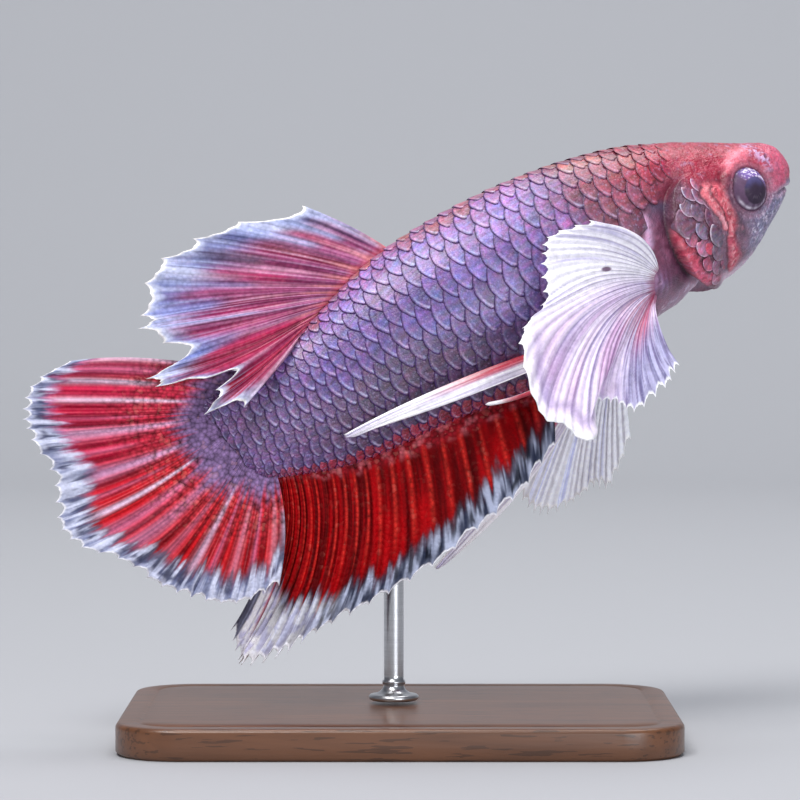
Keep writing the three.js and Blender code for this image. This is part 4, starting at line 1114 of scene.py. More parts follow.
def build_fin(name, rays, count, look, material, seed, notch=0.5, per_ray=12, rows=110,
              pleat=0.16, ruffle=0.5, folds=8, thick=(0.17, 0.045), forks=(0.35, 0.68),
              start=-0.1, sweep=0.0, lip=NO_LIP):
    """A closed sheet over the control rays, with count real rays that end in points and web set in between.

    notch is the web's depth between the tips, pleat and ruffle the heights of its waves (mm), thick its
    thickness at the base and tip, and start where it begins inside the body. Rays start sweep rays further on
    than they end. Between the two shares of lip the margin is smooth and curls over.
    """
    last = len(rays) - 1
    columns = int((count - 1) * per_ray) + 1
    u = np.linspace(0, last, columns)
    r = u / last * (count - 1)
    whole = fin_point(rays, u, np.linspace(0, 1, 12)[:, None])
    length = np.sum(np.linalg.norm(np.diff(whole, axis=0), axis=-1), 0)

    member = np.floor(r)
    between = np.sin(math.pi * (r - member)) ** 0.75
    twigs = np.abs(np.sin(3 * math.pi * (r - member)))
    calm = lip_share(r / (count - 1), lip)
    deep = notch * (0.5 + 1.0 * lattice(member, 0, seed)) * (1 - 0.92 * calm)
    fringe = notch * (0.16 * twigs + 0.12 * noise(r * 5.3, 0, seed + 5)) * (1 - 0.9 * calm)
    reach = 0.35 * notch * (noise(r * 0.7, 0, seed + 9) - 0.3)
    reach = reach + 1.1 * calm * (noise(r * 0.45, 3, seed + 9) - 0.35)
    end = 1 - (deep * between + fringe + reach) / length

    share = np.linspace(0, 1, rows) ** 0.85
    v = start + (end - start)[None, :] * share[:, None]
    edge = (end[None, :] - v) * length
    flow = np.clip(v, 0, 1)
    uu = np.broadcast_to(u, v.shape)
    rr = r + sweep * np.sin(math.pi * r / (count - 1)) * (1 - flow)
    ridge = ray_ridges(rr, flow, 0.17, *forks)
    uneven = 0.6 + 0.8 * noise(rr * 0.5, flow * 2, seed + 4)
    wave = pleat * (0.35 + 0.65 * flow) * np.cos(2 * math.pi * rr) * uneven
    wave = wave + ruffle * flow * (cloud(uu / last * folds, flow * 1.6, seed + 3) - 0.5) * 2
    wave = wave + 0.25 * pleat * flow * (noise(rr * 1.3, flow * 9, seed + 6) - 0.5)
    wave = wave - 0.7 * calm * fade(0.0, 1.6, edge) * (0.4 + 0.9 * noise(r * 0.4, 5, seed + 8))
    half = thick[1] + (thick[0] - thick[1]) * fade(0, 0.9, flow) + (0.075 - 0.05 * flow) * ridge
    half = half * smooth(-0.02, 0.3, edge) + 0.012

    normal = fin_normal(rays, uu, np.clip(v, 0, 0.97))
    base = fin_point(rays, uu, v) + normal * wave[..., None]
    sides = [base + normal * half[..., None], base - normal * half[..., None]]
    points = np.concatenate([side.reshape(-1, 3) for side in sides])
    faces = closed_sheet(rows, columns)[:, ::-1]
    chart = np.stack([0.49 * uu / last, np.broadcast_to(share[:, None], v.shape)], -1).reshape(-1, 2)
    uvs = np.concatenate([chart, chart + [0.51, 0]])[faces]
    rim = 2 * (rows - 1) * (columns - 1)
    uvs[rim:] = chart[faces[rim:] % (rows * columns)]
    tint, grain = look(rr, flow, v * length, edge, ridge, count)
    return make_mesh(name, points, faces, uvs, np.concatenate([tint.reshape(-1, 3)] * 2),
                     np.concatenate([grain.ravel()] * 2), material)


# ---------- the colours of the fins ----------

# Every look takes the place on the fin and gives its colour and grain there: r counts real rays, v runs from
# 0 at the base to 1 at the tip, along and edge are mm from the base and from the margin, ridge is 1 on a ray
# and count is the fin's number of rays.

MARGIN_WHITE = rgb(244, 243, 250)


def streaks(r, v, seed, across=3.0, along=1.6):
    """Long noise that runs with the rays, from 0 to 1."""
    return (noise(r * across, v * along, seed) * 2 + noise(r * across * 2.7, v * along * 2, seed + 1)) / 3


def from_ray(r):
    return r - np.round(r)


def web_line(r, width):
    """1 in the middle between two rays, 0 on them: the pleats' grooves, where the looks paint shade."""
    return bell(np.abs(from_ray(r)) - 0.5, width)


def fine_rays(c, r, v, per_ray, light, strength, seed):
    """The thin branches of the rays, each with a light line of painted highlight and a dark one of painted
    shade beside it, of uneven strength.
    """
    q = r * per_ray
    gap, which = q - np.round(q), np.round(q)
    patchy = 0.3 + 0.9 * noise(which * 1.7, v * 5, seed)
    # Painted shade beside each fine ray.
    c = mix(c, c * 0.5, bell(gap - 0.34, 0.16) * strength * patchy)
    # Painted highlight along each fine ray.
    lit = bell(gap + 0.06, 0.15) * strength * lattice(which, 0, seed) * (1.5 - patchy)
    return mix(c, light, np.clip(lit, 0, 1))


def banded(c, r, v, s, bands):
    """Streaks along the rays: a band is its ray, half width in rays, start, end, colour and strength."""
    for ray, width, start, end, colour, strength in bands:
        inside = bell(r - ray, width * (0.6 + 0.5 * v)) * smooth(start - 0.04, start + 0.1, v)
        inside = inside * fade(end - 0.12, end + 0.04, v + 0.12 * (s - 0.5))
        c = mix(c, rgb(*colour), inside * strength * smooth(0.0, 0.35, s + 0.1))
    return c


def margin_look(c, r, edge, width, seed, low, high, dark, ridge, inner):
    """The pale, streaked border with its bright rim, and a smoky zone inside it."""
    s = streaks(r, edge * 0.25, seed, 4.2)
    strokes = smooth(0.5, 0.66, streaks(r, edge * 0.2, seed + 7, 3.4))
    ragged = streaks(r, edge * 0.9, seed + 9, 7.0)
    border = two_tone(low, high, np.clip(smooth(0.3, 0.7, s) * 0.85 + ridge * 0.3, 0, 1))
    border = mix(border, rgb(*dark), strokes * 0.85 * smooth(0.3, 0.9, edge))
    tongue = width * (0.75 + 0.5 * noise(r * 1.4, 0, seed + 3)) + 1.5 * (s - 0.5) + 0.9 * (ragged - 0.5)
    c = mix(c, inner, fade(tongue - 0.2, tongue + 0.9, edge) * 0.8)
    c = mix(c, border, fade(tongue - 1.0, tongue + 0.6, edge))
    return mix(c, MARGIN_WHITE, fade(0.06, 0.26, edge))


TAIL_PALE = (222, 200, 226)
TAIL_PINK = (214, 118, 158)
TAIL_BANDS = [
    (0.0, 0.5, 0.2, 1.1, (220, 190, 214), 0.8),
    (1.3, 0.5, 0.3, 1.0, TAIL_PINK, 0.6),
    (2.6, 0.3, 0.3, 1.1, TAIL_PALE, 0.9),
    (4.2, 0.26, 0.08, 1.1, TAIL_PALE, 0.8),
    (6.0, 0.25, 0.3, 1.1, TAIL_PINK, 0.5),
    (7.8, 0.55, 0.05, 1.0, (216, 168, 204), 0.9),
    (9.4, 0.22, 0.4, 1.1, TAIL_PINK, 0.5),
    (11.0, 0.5, 0.05, 1.0, (206, 160, 200), 0.85),
    (12.6, 0.2, 0.3, 1.0, TAIL_PINK, 0.5),
    (14.0, 0.3, 0.05, 1.1, TAIL_PALE, 1.0),
    (15.9, 0.6, 0.2, 0.95, TAIL_PINK, 0.75),
    (17.6, 0.6, 0.12, 0.9, (206, 130, 170), 0.65),
    (19.7, 0.4, 0.12, 1.0, (204, 130, 164), 0.5),
    (22.0, 0.4, 0.06, 1.1, (200, 180, 208), 0.8),
    (23.5, 0.25, 0.15, 1.0, TAIL_PINK, 0.6),
    (25.2, 0.35, 0.2, 1.0, (206, 130, 156), 0.7),
    (26.6, 0.22, 0.2, 1.1, TAIL_PINK, 0.6),
    (28.1, 0.3, 0.2, 1.0, (200, 140, 160), 0.6),
    (29.0, 0.35, 0.3, 1.1, (150, 150, 176), 0.9),
]


def tail_look(r, v, along, edge, ridge, count):
    """Rose above and deep red below, scaly at the base, with pale rays and a blue-grey border."""
    s = streaks(r, v, 31)
    low = smooth(7, 15, r + 2 * (s - 0.5))
    c = two_tone((140, 12, 40), (204, 34, 76), smooth(0.2, 0.75, s))
    c = mix(c, two_tone((128, 10, 20), (206, 24, 34), smooth(0.2, 0.7, s)), low)
    scaly = fade(0.32, 0.62, v + 0.2 * (s - 0.5))
    c = mix(c, rgb(176, 52, 62), scaly * 0.45)
    c = banded(c, r, v, s, TAIL_BANDS)
    # Painted shade in the grooves between the rays.
    c = mix(c, c * 0.4, web_line(r, 0.07) * 0.6 * smooth(0.15, 0.4, v))
    c = fine_rays(c, r, v, 3, rgb(232, 120, 130), 0.35, 39)
    root = 1.7 + 0.9 * bell(r - 14, 7)
    c = mix(c, rgb(130, 104, 148), fade(root - 1.1, root + 0.9, along + 1.8 * (s - 0.5)))
    c = margin_look(c, r, edge, 2.3 - 0.6 * fade(2, 9, r), 35, (98, 106, 146), (206, 210, 234), (54, 58, 92),
                    ridge, two_tone((190, 92, 138), (104, 70, 86), low))
    return c, np.clip(0.15 + 0.85 * scaly * fade(8, 13, along), 0, 1)


DORSAL_BLUE = (176, 186, 234)
DORSAL_CRIMSON = (172, 36, 86)
DORSAL_BANDS = [
    (0.12, 0.2, 0.0, 1.1, (176, 182, 222), 0.9),
    (0.34, 0.1, 0.1, 0.8, (62, 44, 80), 0.8),
    (0.62, 0.16, 0.3, 1.1, DORSAL_BLUE, 0.85),
    (0.95, 0.2, 0.15, 0.72, DORSAL_CRIMSON, 0.8),
    (1.25, 0.2, 0.35, 1.0, DORSAL_BLUE, 0.9),
    (1.9, 0.45, 0.05, 0.68, (138, 36, 68), 0.8),
    (2.7, 0.35, 0.5, 0.85, (104, 100, 126), 0.7),
    (3.45, 0.35, 0.3, 0.82, (186, 44, 92), 0.8),
    (4.0, 0.22, 0.45, 1.1, (112, 122, 176), 0.7),
    (4.6, 0.28, 0.1, 0.8, (198, 96, 146), 0.8),
    (5.1, 0.4, 0.6, 1.1, (138, 148, 212), 0.85),
    (5.8, 0.2, 0.2, 0.76, DORSAL_CRIMSON, 0.85),
    (6.3, 0.2, 0.4, 1.1, DORSAL_BLUE, 0.8),
    (7.0, 0.28, 0.2, 0.8, (184, 74, 120), 0.8),
    (7.8, 0.4, 0.55, 1.1, (138, 150, 212), 0.8),
    (8.5, 0.5, 0.1, 0.74, (186, 34, 80), 0.85),
    (9.0, 0.3, 0.05, 0.8, (132, 14, 44), 0.9),
    (9.6, 0.14, 0.3, 0.95, (222, 130, 160), 0.7),
    (10.4, 0.5, 0.2, 0.88, (200, 48, 88), 0.9),
    (11.3, 0.2, 0.4, 1.1, (196, 188, 220), 0.7),
    (12.3, 0.4, 0.05, 0.92, (146, 16, 44), 0.95),
    (13.2, 0.3, 0.2, 0.92, (204, 46, 84), 0.9),
    (13.95, 0.22, 0.05, 1.1, (226, 208, 238), 1.0),
]


def dorsal_look(r, v, along, edge, ridge, count):
    """Rose at the base, ice blue outside and crimson in the rear rays, with streaks across the borders."""
    s = streaks(r, v, 41, 2.6)
    fine = streaks(r, v, 43, 7.0)
    rear = smooth(7.2, 8.4, r)
    c = two_tone((124, 36, 78), (186, 100, 152), smooth(0.3, 0.7, s * 0.5 + fine * 0.5))
    c = mix(c, rgb(206, 158, 200), smooth(0.6, 0.8, fine) * 0.65)
    outer = two_tone((124, 128, 184), (210, 214, 246), smooth(0.25, 0.7, streaks(r, v, 45, 2.2)))
    outer = mix(outer, rgb(66, 68, 116), smooth(0.58, 0.8, fine) * 0.7)
    reach = 0.66 + 0.24 * noise(r * 1.15, 0, 47) - 0.12 * fade(0, 2, r) + 0.1 * smooth(8.5, 10, r)
    c = mix(c, outer, smooth(reach - 0.14, reach + 0.1, v + 0.2 * (s - 0.5)))
    c = banded(c, r, v, s, DORSAL_BANDS)
    c = mix(c, rgb(178, 34, 78), rear * fade(0.62, 0.82, v) * 0.5)
    # Painted highlight on the ray ridges near the root.
    c = mix(c, rgb(236, 170, 180), ridge * smooth(0.4, 0.7, fine) * 0.45 * fade(0.25, 0.75, v))
    # Painted shade in the grooves between the rays.
    c = mix(c, c * 0.45, web_line(r, 0.09) * 0.55 * fade(0.6, 0.95, v))
    light = two_tone((226, 172, 206), (190, 200, 244), smooth(0.55, 0.8, v))
    c = fine_rays(c, r, v, 4, light, 0.75 - 0.4 * rear * fade(0.6, 0.8, v), 49)
    c = mix(c, rgb(196, 84, 96), fade(0.0, 1.0, along + 0.6 * (s - 0.5)) * 0.6)
    c = mix(c, rgb(238, 150, 150), bell(from_ray(r), 0.16) * fade(0.8, 3.2, along + 2 * (s - 0.5)) * 0.6)
    c = mix(c, rgb(206, 212, 238), fade(0.1, 0.9, edge + 1.1 * (s - 0.5)) * 0.8)
    c = mix(c, rgb(250, 247, 248), fade(0.1, 0.32, edge))
    return c, np.full(r.shape, 0.3)


ANAL_BANDS = [(0.4, 0.16, 0.12, 0.5, (176, 150, 206), 0.9), (1.7, 0.14, 0.2, 0.42, (186, 146, 196), 0.8)]


def anal_look(r, v, along, edge, ridge, count):
    """Deep red with a beaded line of painted highlight on each ray and painted shade beside it, a dark front,
    a blue-grey border and a white rear lobe.
    """
    s = streaks(r, v, 51)
    c = two_tone((88, 0, 4), (166, 4, 12), smooth(0.25, 0.75, s))
    line = bell(from_ray(r) + 0.12 * (s - 0.5), 0.1)
    # Painted highlight along each ray.
    c = mix(c, rgb(202, 46, 38), line * fade(0.5, 0.75, v) * 0.8 * smooth(0.15, 0.3, s))
    # Painted shade beside each ray.
    c = mix(c, c * 0.4, bell(from_ray(r) - 0.24, 0.09) * 0.6)
    beads = fade(0.5, 1.3, along + 0.6 * (s - 0.5))
    bead = two_tone((140, 26, 38), (196, 96, 106), smooth(0.45, 0.7, noise(r * 2.6, along * 2.4, 57)))
    c = mix(c, bead, beads * 0.8)
    front = smooth(21.2, 24.0, r + 1.4 * (s - 0.5))
    c = mix(c, rgb(34, 28, 38), front * smooth(0.25, 0.7, v) * 0.92)
    rear = fade(4.4, 6.6, r + (s - 0.5))
    wide = fade(7.5, 13.0, r + (s - 0.5))
    width = 2.3 + 1.5 * rear + 1.7 * wide - 0.3 * front
    c = margin_look(c, r, edge, width, 55, (40, 46, 68), (178, 186, 212), (14, 16, 28), ridge * 0.25,
                    two_tone((52, 30, 40), (150, 60, 72), rear))
    lobe = (0.5 * wide + 0.5 * rear) * smooth(1.0, 1.6, r) * fade(width - 1.0, width + 0.4, edge)
    cloudy = smooth(0.4, 0.6, cloud(r * 2.2, along * 1.6, 59))
    c = mix(c, two_tone((208, 204, 232), (255, 252, 255), cloudy), lobe * 0.94)
    stroke = rear * bell(r - 3.0 + 0.6 * (s - 0.5), 0.3) * smooth(0.4, 0.6, v) * fade(0.78, 0.93, v)
    c = mix(c, rgb(206, 70, 92), stroke * 0.8)
    c = banded(c, r, v, s, ANAL_BANDS)
    blades = fade(1.0, 1.5, r) * smooth(0.55, 0.7, v)
    c = mix(c, two_tone((84, 82, 100), (156, 156, 180), smooth(0.35, 0.7, s)), blades * 0.9)
    grain = np.clip(0.15 + 0.7 * line, 0, 1) * fade(0.5, 0.8, v)
    return mix(c, rgb(240, 240, 248), fade(0.06, 0.2, edge)), np.maximum(grain, beads)


PECTORAL_LIP = (0.36, 0.66)


def white_look(r, v, along, edge, ridge, count):
    """White above, lilac in the middle, blue-grey in front, red streaks at the root and one dark spot."""
    s = streaks(r, v, 61, 2.4, 1.2)
    fine = streaks(r, v, 63, 5.0, 3.0)
    share = r / (count - 1)
    root = v + 0.3 * (s - 0.5)
    c = two_tone((160, 146, 188), (236, 222, 246), smooth(0.2, 0.58, s * 0.6 + fine * 0.4))
    top = two_tone((196, 190, 226), (250, 248, 255), smooth(0.15, 0.5, s * 0.5 + fine * 0.5))
    c = mix(c, top, fade(0.22, 0.42, share) * 0.9)
    rosy = smooth(0.3, 0.6, streaks(r, v, 65, 0.5, 2.0)) * smooth(0.3, 0.5, share)
    rosy = rosy * fade(0.82, 0.95, v) * smooth(0.2, 0.4, v)
    c = mix(c, rgb(190, 142, 188), rosy * 0.75 * (0.4 + 0.6 * smooth(0.3, 0.6, 1 - s)))
    blue = smooth(0.74, 0.86, share) * smooth(0.15, 0.45, v)
    c = mix(c, two_tone((98, 96, 140), (172, 172, 210), smooth(0.3, 0.65, fine)), blue * 0.9)
    # Painted shade in the grooves between the rays.
    c = mix(c, rgb(92, 66, 122), web_line(r, 0.11) * 0.85 * fade(0.1, 0.9, v + 0.6 * (s - 0.5)))
    c = mix(c, rgb(156, 76, 108), fade(0.1, 1.0, along + 1.2 * (s - 0.5)) * 0.7)
    red = bell(share - 0.86, 0.09) * fade(0.2, 0.62, root)
    red = red + 0.75 * bell(share - 0.66, 0.12) * fade(0.12, 0.42, root)
    beside = bell(np.abs(from_ray(r)) - 0.1, 0.22)
    red = red * smooth(0.3, 0.62, streaks(r, v, 67, 1.7)) * (0.45 + 0.55 * beside)
    c = mix(c, rgb(184, 52, 94), np.clip(red, 0, 1) * 0.9)
    lip = lip_share(share, PECTORAL_LIP)
    fold = edge - 0.35 * (noise(r * 0.8, 1, 69) - 0.5)
    # Painted highlight on the curled-over lip of the margin.
    c = mix(c, rgb(250, 242, 252), lip * fade(0.6, 1.2, fold) * 0.7)
    # Painted shade inside the fold of the lip.
    c = mix(c, rgb(164, 142, 186), lip * bell(fold - 1.5, 0.45) * 0.6 * smooth(0.1, 0.4, s))
    spot = np.hypot((share - 0.235) / 0.016, (along - 5.0) / 0.5)
    c = mix(c, rgb(92, 54, 92), fade(0.7, 1.15, spot) * 0.9)
    return mix(c, rgb(252, 252, 255), fade(0.06, 0.34, edge)), np.full(r.shape, 0.3)


def far_white_look(r, v, along, edge, ridge, count):
    s = streaks(r, v, 71, 2.4, 1.2)
    c = two_tone((214, 220, 255), (246, 248, 255), smooth(0.15, 0.45, s))
    # Painted shade in the grooves between the rays.
    c = mix(c, rgb(140, 134, 186), web_line(r, 0.09) * 0.3 * fade(0.5, 1.0, v))
    return mix(c, rgb(255, 255, 255), fade(0.06, 0.3, edge)), np.full(r.shape, 0.15)


def pelvic_look(r, v, along, edge, ridge, count):
    """White with a red upper edge, which runs further down a filament, as it has only two rays."""
    s = streaks(r, v * 3, 71)
    c = two_tone((206, 198, 224), (252, 250, 255), smooth(0.2, 0.6, s))
    filament = count == 2
    stripe = fade(0.15 * count, 0.42 * count, r + 0.6 * (s - 0.5))
    stripe = stripe * fade(0.42 + 0.35 * filament, 0.72 + 0.25 * filament, v + 0.2 * (s - 0.5))
    return mix(c, rgb(200, 40, 68), stripe * 0.95), np.full(r.shape, 0.2)


def build_fins():
    coloured = living(
        "fin_surface", cell=0.34, contrast=0.3, dome=1.3, fleck=(0.9, 0.4, 0.3), fleck_share=0.1, relief=0.5,
        roughness=0.55, specular=0.05)
    pale = living(
        "pale_fin_surface", cell=0.14, contrast=0.1, dome=0.2, fleck=(0.95, 0.93, 1.0), fleck_share=0.2,
        relief=0.2, roughness=0.5, coat=0.05, coat_roughness=0.3, specular=0.3)
    dorsal = build_fin(
        "dorsal_fin_sheet", DORSAL_RAYS, 15, dorsal_look, coloured, seed=2, notch=0.85, per_ray=20, pleat=0.2,
        ruffle=0.45)
    place(dorsal, "dorsal_fin", "dorsal_fin")
    tail = build_fin(
        "tail_fin_sheet", TAIL_RAYS, 30, tail_look, coloured, seed=3, notch=0.45, per_ray=13, pleat=0.13)
    place(tail, "tail_fin", "tail_fin")
    anal = build_fin(
        "anal_fin_sheet", ANAL_RAYS, 25, anal_look, coloured, seed=4, notch=0.55, per_ray=14,
        forks=(0.5, 0.8))
    place(anal, "anal_fin", "anal_fin")
    near = build_fin(
        "pectoral_fin_right_sheet", NEAR_PECTORAL_RAYS, 36, white_look, pale, seed=5, per_ray=9, rows=130,
        pleat=0.09, ruffle=0.75, folds=7, sweep=6.0, lip=PECTORAL_LIP)
    place(near, "white_fin", "pectoral_fin_right")
    far = build_fin(
        "pectoral_fin_left_sheet", FAR_PECTORAL_RAYS, 30, far_white_look, pale, seed=6, notch=0.55,
        per_ray=10, pleat=0.09, ruffle=0.4)
    place(far, "white_fin", "pectoral_fin_left")
    for word, blade_rays, filament_rays in (
        ("right", NEAR_PELVIC_RAYS, NEAR_FILAMENT_RAYS),
        ("left", FAR_PELVIC_RAYS, FAR_FILAMENT_RAYS),
    ):
        blade = build_fin(
            f"pelvic_fin_{word}_sheet", blade_rays, 4, pelvic_look, pale, seed=7, notch=0.1, per_ray=14,
            rows=120, pleat=0.05, ruffle=0.06, thick=(0.22, 0.1), start=0.0)
        place(blade, "white_fin", f"pelvic_fin_{word}")
        filament = build_fin(
            f"pelvic_filament_{word}_sheet", filament_rays, 2, pelvic_look, pale, seed=8, notch=0.1,
            per_ray=12, rows=60, pleat=0.02, ruffle=0.03, thick=(0.2, 0.1), start=0.0)
        place(filament, "white_fin")


# ---------- the stand ----------

BASE_CORNER = 5.0
BASE_BEVEL = 0.4
# The base's outline: its lower edge as mm in from the side and mm up, its grooved top as mm in and mm down.
BASE_FOOT = [(2.0, 0.0), (0.3, 0.0), (0.0, 0.3), (0.0, 1.2)]
BASE_GROOVE = [(1.7, 0.0), (1.82, 0.1), (2.0, 0.1), (2.12, 0.0), (4.0, 0.0)]

ROD_RADIUS = 0.8
ROD_SIDES = 48
# The rod's outline in mm above the base: its foot as mm in from the widest, and its collar as mm out.
ROD_FOOT = [(0.15, 0.0), (0.0, 0.12), (0.0, 0.34), (0.12, 0.46)]
ROD_COLLAR = [(0.12, 1.3), (0.12, 1.55), (0.0, 1.65)]
# How much further than its CAD solid the rod runs up inside the fish, so that it ends out of sight.
ROD_BURIED = 2.5


def box_in_mm(node_name):
    low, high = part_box(node_name)
    return np.array(low) / MM, np.array(high) / MM


def build_stand_base():
    """A slab with round corners, a small bevel and a fine groove round its top."""
    low, high = box_in_mm("stand_base")
    middle, half, top = (low + high) / 2, (high - low) / 2, high[2]
    shoulder = top - BASE_BEVEL
    bevel = np.linspace(0.3, math.pi / 2, 6)
    profile = [*BASE_FOOT, (0.0, shoulder)]
    profile += [(BASE_BEVEL * (1 - math.cos(k)), shoulder + BASE_BEVEL * math.sin(k)) for k in bevel]
    profile += [(inset, top - depth) for inset, depth in BASE_GROOVE]
    turns = np.linspace(0, math.pi / 2, 13)
    rings = []
    for inset, z in profile:
        ring = []
        for quarter, (sx, sy) in enumerate(((1, 1), (-1, 1), (-1, -1), (1, -1))):
            a = turns + quarter * math.pi / 2
            x = middle[0] + sx * (half[0] - BASE_CORNER) + (BASE_CORNER - inset) * np.cos(a)
            y = middle[1] + sy * (half[1] - BASE_CORNER) + (BASE_CORNER - inset) * np.sin(a)
            ring.append(np.stack([x, y, np.full(len(a), z)], -1))
        rings.append(np.concatenate(ring))
    build_rings("stand_base_wood", rings, wood_material(), "stand_wood", "stand_base", flat_chart=True)


def build_stand_rod():
    """A round rod on a small turned foot, with a collar above the foot's hollow curve."""
    low, high = box_in_mm("stand_rod")
    (x, y, _), start, end = (low + high) / 2, low[2], high[2] + ROD_BURIED
    widest = (high[0] - low[0]) / 2
    curve = widest - 0.2 - ROD_RADIUS
    profile = [(0.3, start)]
    profile += [(widest - inset, start + up) for inset, up in ROD_FOOT]
    profile += [(ROD_RADIUS + curve * (1 - math.sin(k)), start + 0.5 + 0.8 * (1 - math.cos(k)))
                for k in np.linspace(0.15, math.pi / 2, 8)]
    profile += [(ROD_RADIUS + out, start + up) for out, up in ROD_COLLAR]
    profile += [(ROD_RADIUS, z) for z in np.linspace(start + 2, end - 0.3, 24)]
    profile += [(ROD_RADIUS * 0.5, end - 0.1)]
    a = np.linspace(0, 2 * math.pi, ROD_SIDES, endpoint=False)
    rings = [np.stack([x + q * np.cos(a), y + q * np.sin(a), np.full(ROD_SIDES, z)], -1) for q, z in profile]
    build_rings("stand_rod_steel", rings, steel_material(), "stand_steel", "stand_rod")


def build_rings(name, rings, material, slot, node_name, flat_chart=False):
    """A piece closed over rings of points, with its chart rolled off its side or laid flat from above."""
    points, quads, numbers, ends = closed_tube(np.array(rings))
    uvs = np.stack([quads[..., 1] / len(rings[0]), quads[..., 0] / (len(rings) - 1)], -1)
    end_uvs = np.zeros((len(ends), 3, 2))
    if flat_chart:
        flat = (points - points.min(0)) / np.ptp(points, axis=0).max()
        chart = np.stack([flat[:, 0] * 0.5 + 0.02 * flat[:, 2], flat[:, 1] * 0.5 + 0.2 * flat[:, 2]], -1)
        uvs, end_uvs = chart[numbers], chart[ends]
    grey = np.full((len(points), 3), 0.5)
    place(make_mesh(name, points, numbers, uvs, grey, 0.0, material, ends, end_uvs), slot, node_name)


def wood_material():
    """Walnut with its grain along x and short dark pores."""
    material, tree, shader = material_base("stand_walnut", 0.38, coat=0.25, coat_roughness=0.2)
    where = node(tree, "ShaderNodeTexCoord").outputs["Object"]
    stretched = node(tree, "ShaderNodeMapping", {"Vector": where, "Scale": (30.0, 420.0, 420.0)}).outputs[0]
    grain = node(tree, "ShaderNodeTexNoise", {
        "Vector": stretched, "Scale": 1.0, "Detail": 6.0, "Distortion": 1.2})
    pores = node(tree, "ShaderNodeMapping", {"Vector": where, "Scale": (260.0, 3200.0, 3200.0)}).outputs[0]
    pore = node(tree, "ShaderNodeTexNoise", {"Vector": pores, "Scale": 1.0, "Detail": 2.0}).outputs["Fac"]
    tone = blend(tree, "MIX", grain.outputs["Fac"], (*rgb(58, 34, 22), 1), (*rgb(128, 82, 52), 1))
    dark = maths(tree, "MULTIPLY", maths(tree, "GREATER_THAN", pore, 0.6), 0.5)
    tree.links.new(blend(tree, "MIX", dark, tone, (*rgb(40, 24, 16), 1)), shader.inputs["Base Color"])
    bump(tree, shader, pore, 0.15, 0.0001)
    return material


def steel_material():
    """Steel with fine lines brushed round the rod."""
    material, tree, shader = material_base("stand_brushed_steel", 0.28, metallic=1.0)
    where = node(tree, "ShaderNodeTexCoord").outputs["Object"]
    stretched = node(tree, "ShaderNodeMapping", {"Vector": where, "Scale": (400.0, 400.0, 9000.0)}).outputs[0]
    lines = node(tree, "ShaderNodeTexNoise", {"Vector": stretched, "Scale": 1.0, "Detail": 3.0})
    tone = blend(tree, "MIX", lines.outputs["Fac"], (0.42, 0.43, 0.45, 1), (0.66, 0.67, 0.69, 1))
    tree.links.new(tone, shader.inputs["Base Color"])
    return material


# ---------- build ----------

SCALE_PIECES = 4

skin_material = living(
    "fish_skin_surface", cell=0.16, contrast=0.34, dome=0.45, fleck=(0.78, 0.64, 0.72), fleck_share=0.14,
    relief=0.6, hue=0.07, roughness=0.42, coat=0.14, coat_roughness=0.22)
scale_material = living(
    "fish_scale_surface", cell=0.15, contrast=0.34, dome=0.4, fleck=(0.72, 0.62, 0.92), fleck_share=0.12,
    relief=0.35, hue=0.15, roughness=0.4, coat=0.2, coat_roughness=0.2)
eye_material = living(
    "fish_eye_surface", cell=0.1, contrast=0.2, dome=0.2, fleck=(0.75, 0.7, 0.95), fleck_share=0.0,
    relief=0.0, roughness=0.5, coat=0.06, coat_roughness=0.05, specular=0.1)

build_skin(skin_material)
scales = body_scales()
for k, part in enumerate(np.array_split(np.argsort(scales["t"]), SCALE_PIECES)):
    lay_scales(f"scales_{k + 1}", {key: value[part] for key, value in scales.items()}, scale_material)
lay_scales("scales_gill_cover", cheek_plates(), scale_material)
for word, side in SIDES.items():
    build_eye(word, side, eye_material)
build_fins()
build_stand_base()
build_stand_rod()

# ---------- stage, light and camera ----------

# The floor in metres. It bends up into a wall behind the fish.
FLOOR_FRONT = -2.0
BEND_START = 0.35
BEND_RADIUS = 0.25
BEND_STEPS = 40
WALL_TOP = 2.5
STAGE_HALF_WIDTH = 3.0

LIGHTS_AIM = (0, 0, 0.03)
ROOM_LIGHT = 0.25

CAMERA_SENSOR = 36
CAMERA_LENS = 168.75
CAMERA_DISTANCE = 0.3
CAMERA_AIM_HEIGHT = 0.027
CAMERA_DEGREES_UP = 2


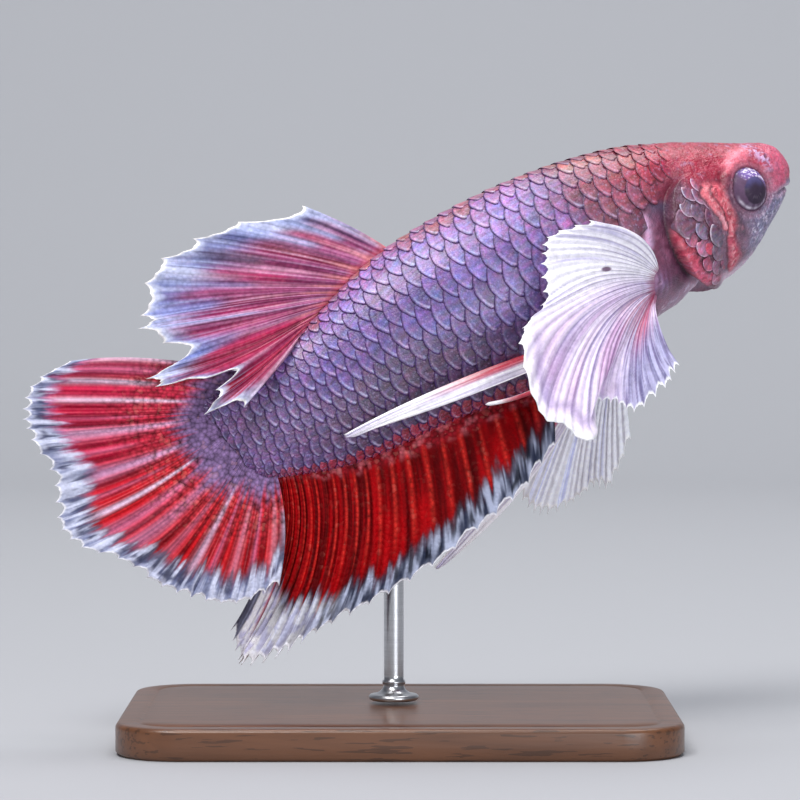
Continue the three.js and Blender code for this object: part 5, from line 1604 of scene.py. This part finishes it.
def build_stage():
    profile = [(FLOOR_FRONT, 0.0), (BEND_START, 0.0)]
    for k in range(1, BEND_STEPS + 1):
        bend = math.pi / 2 * k / BEND_STEPS
        up = BEND_RADIUS - BEND_RADIUS * math.cos(bend)
        profile.append((BEND_START + BEND_RADIUS * math.sin(bend), up))
    profile.append((BEND_START + BEND_RADIUS, WALL_TOP))
    vertices = [(x, y, z) for y, z in profile for x in (-STAGE_HALF_WIDTH, STAGE_HALF_WIDTH)]
    faces = [(2 * k, 2 * k + 1, 2 * k + 3, 2 * k + 2) for k in range(len(profile) - 1)]
    mesh = bpy.data.meshes.new("stage_floor")
    mesh.from_pydata(vertices, [], faces)
    mesh.shade_smooth()
    material, _, shader = material_base("stage_paint", 0.85)
    shader.inputs["Base Color"].default_value = (0.42, 0.43, 0.46, 1)
    mesh.materials.append(material)
    obj = bpy.data.objects.new("stage_floor", mesh)
    bpy.context.collection.objects.link(obj)


def area_light(name, at, size, power, colour):
    data = bpy.data.lights.new(name, "AREA")
    data.shape = "RECTANGLE"
    data.size, data.size_y = size
    data.energy = power
    data.color = colour
    obj = bpy.data.objects.new(name, data)
    obj.location = at
    obj.rotation_euler = (Vector(LIGHTS_AIM) - Vector(at)).to_track_quat("-Z", "Y").to_euler()
    bpy.context.collection.objects.link(obj)


build_stage()
area_light("key", (-0.2, -0.4, 0.6), (0.35, 0.3), 4.3, (1, 0.98, 0.96))
area_light("fill", (0.3, -0.65, 0.06), (0.4, 0.3), 2.8, (0.94, 0.96, 1))
area_light("top", (0.1, 0.15, 0.7), (0.5, 0.5), 3.6, (1, 1, 1))
world = bpy.data.worlds.new("room")
bpy.context.scene.world = world
world.use_nodes = True
background = world.node_tree.nodes["Background"]
background.inputs["Color"].default_value = (0.8, 0.85, 0.95, 1)
background.inputs["Strength"].default_value = ROOM_LIGHT

camera_data = bpy.data.cameras.new("camera")
camera_data.sensor_width = CAMERA_SENSOR
camera_data.lens = CAMERA_LENS
camera = bpy.data.objects.new("camera", camera_data)
bpy.context.collection.objects.link(camera)
tilt = math.radians(CAMERA_DEGREES_UP)
camera.location = (0, -CAMERA_DISTANCE * math.cos(tilt), CAMERA_AIM_HEIGHT + CAMERA_DISTANCE * math.sin(tilt))
camera.rotation_euler = (math.pi / 2 - tilt, 0, 0)
bpy.context.scene.camera = camera
bpy.context.scene.view_settings.view_transform = "Standard"
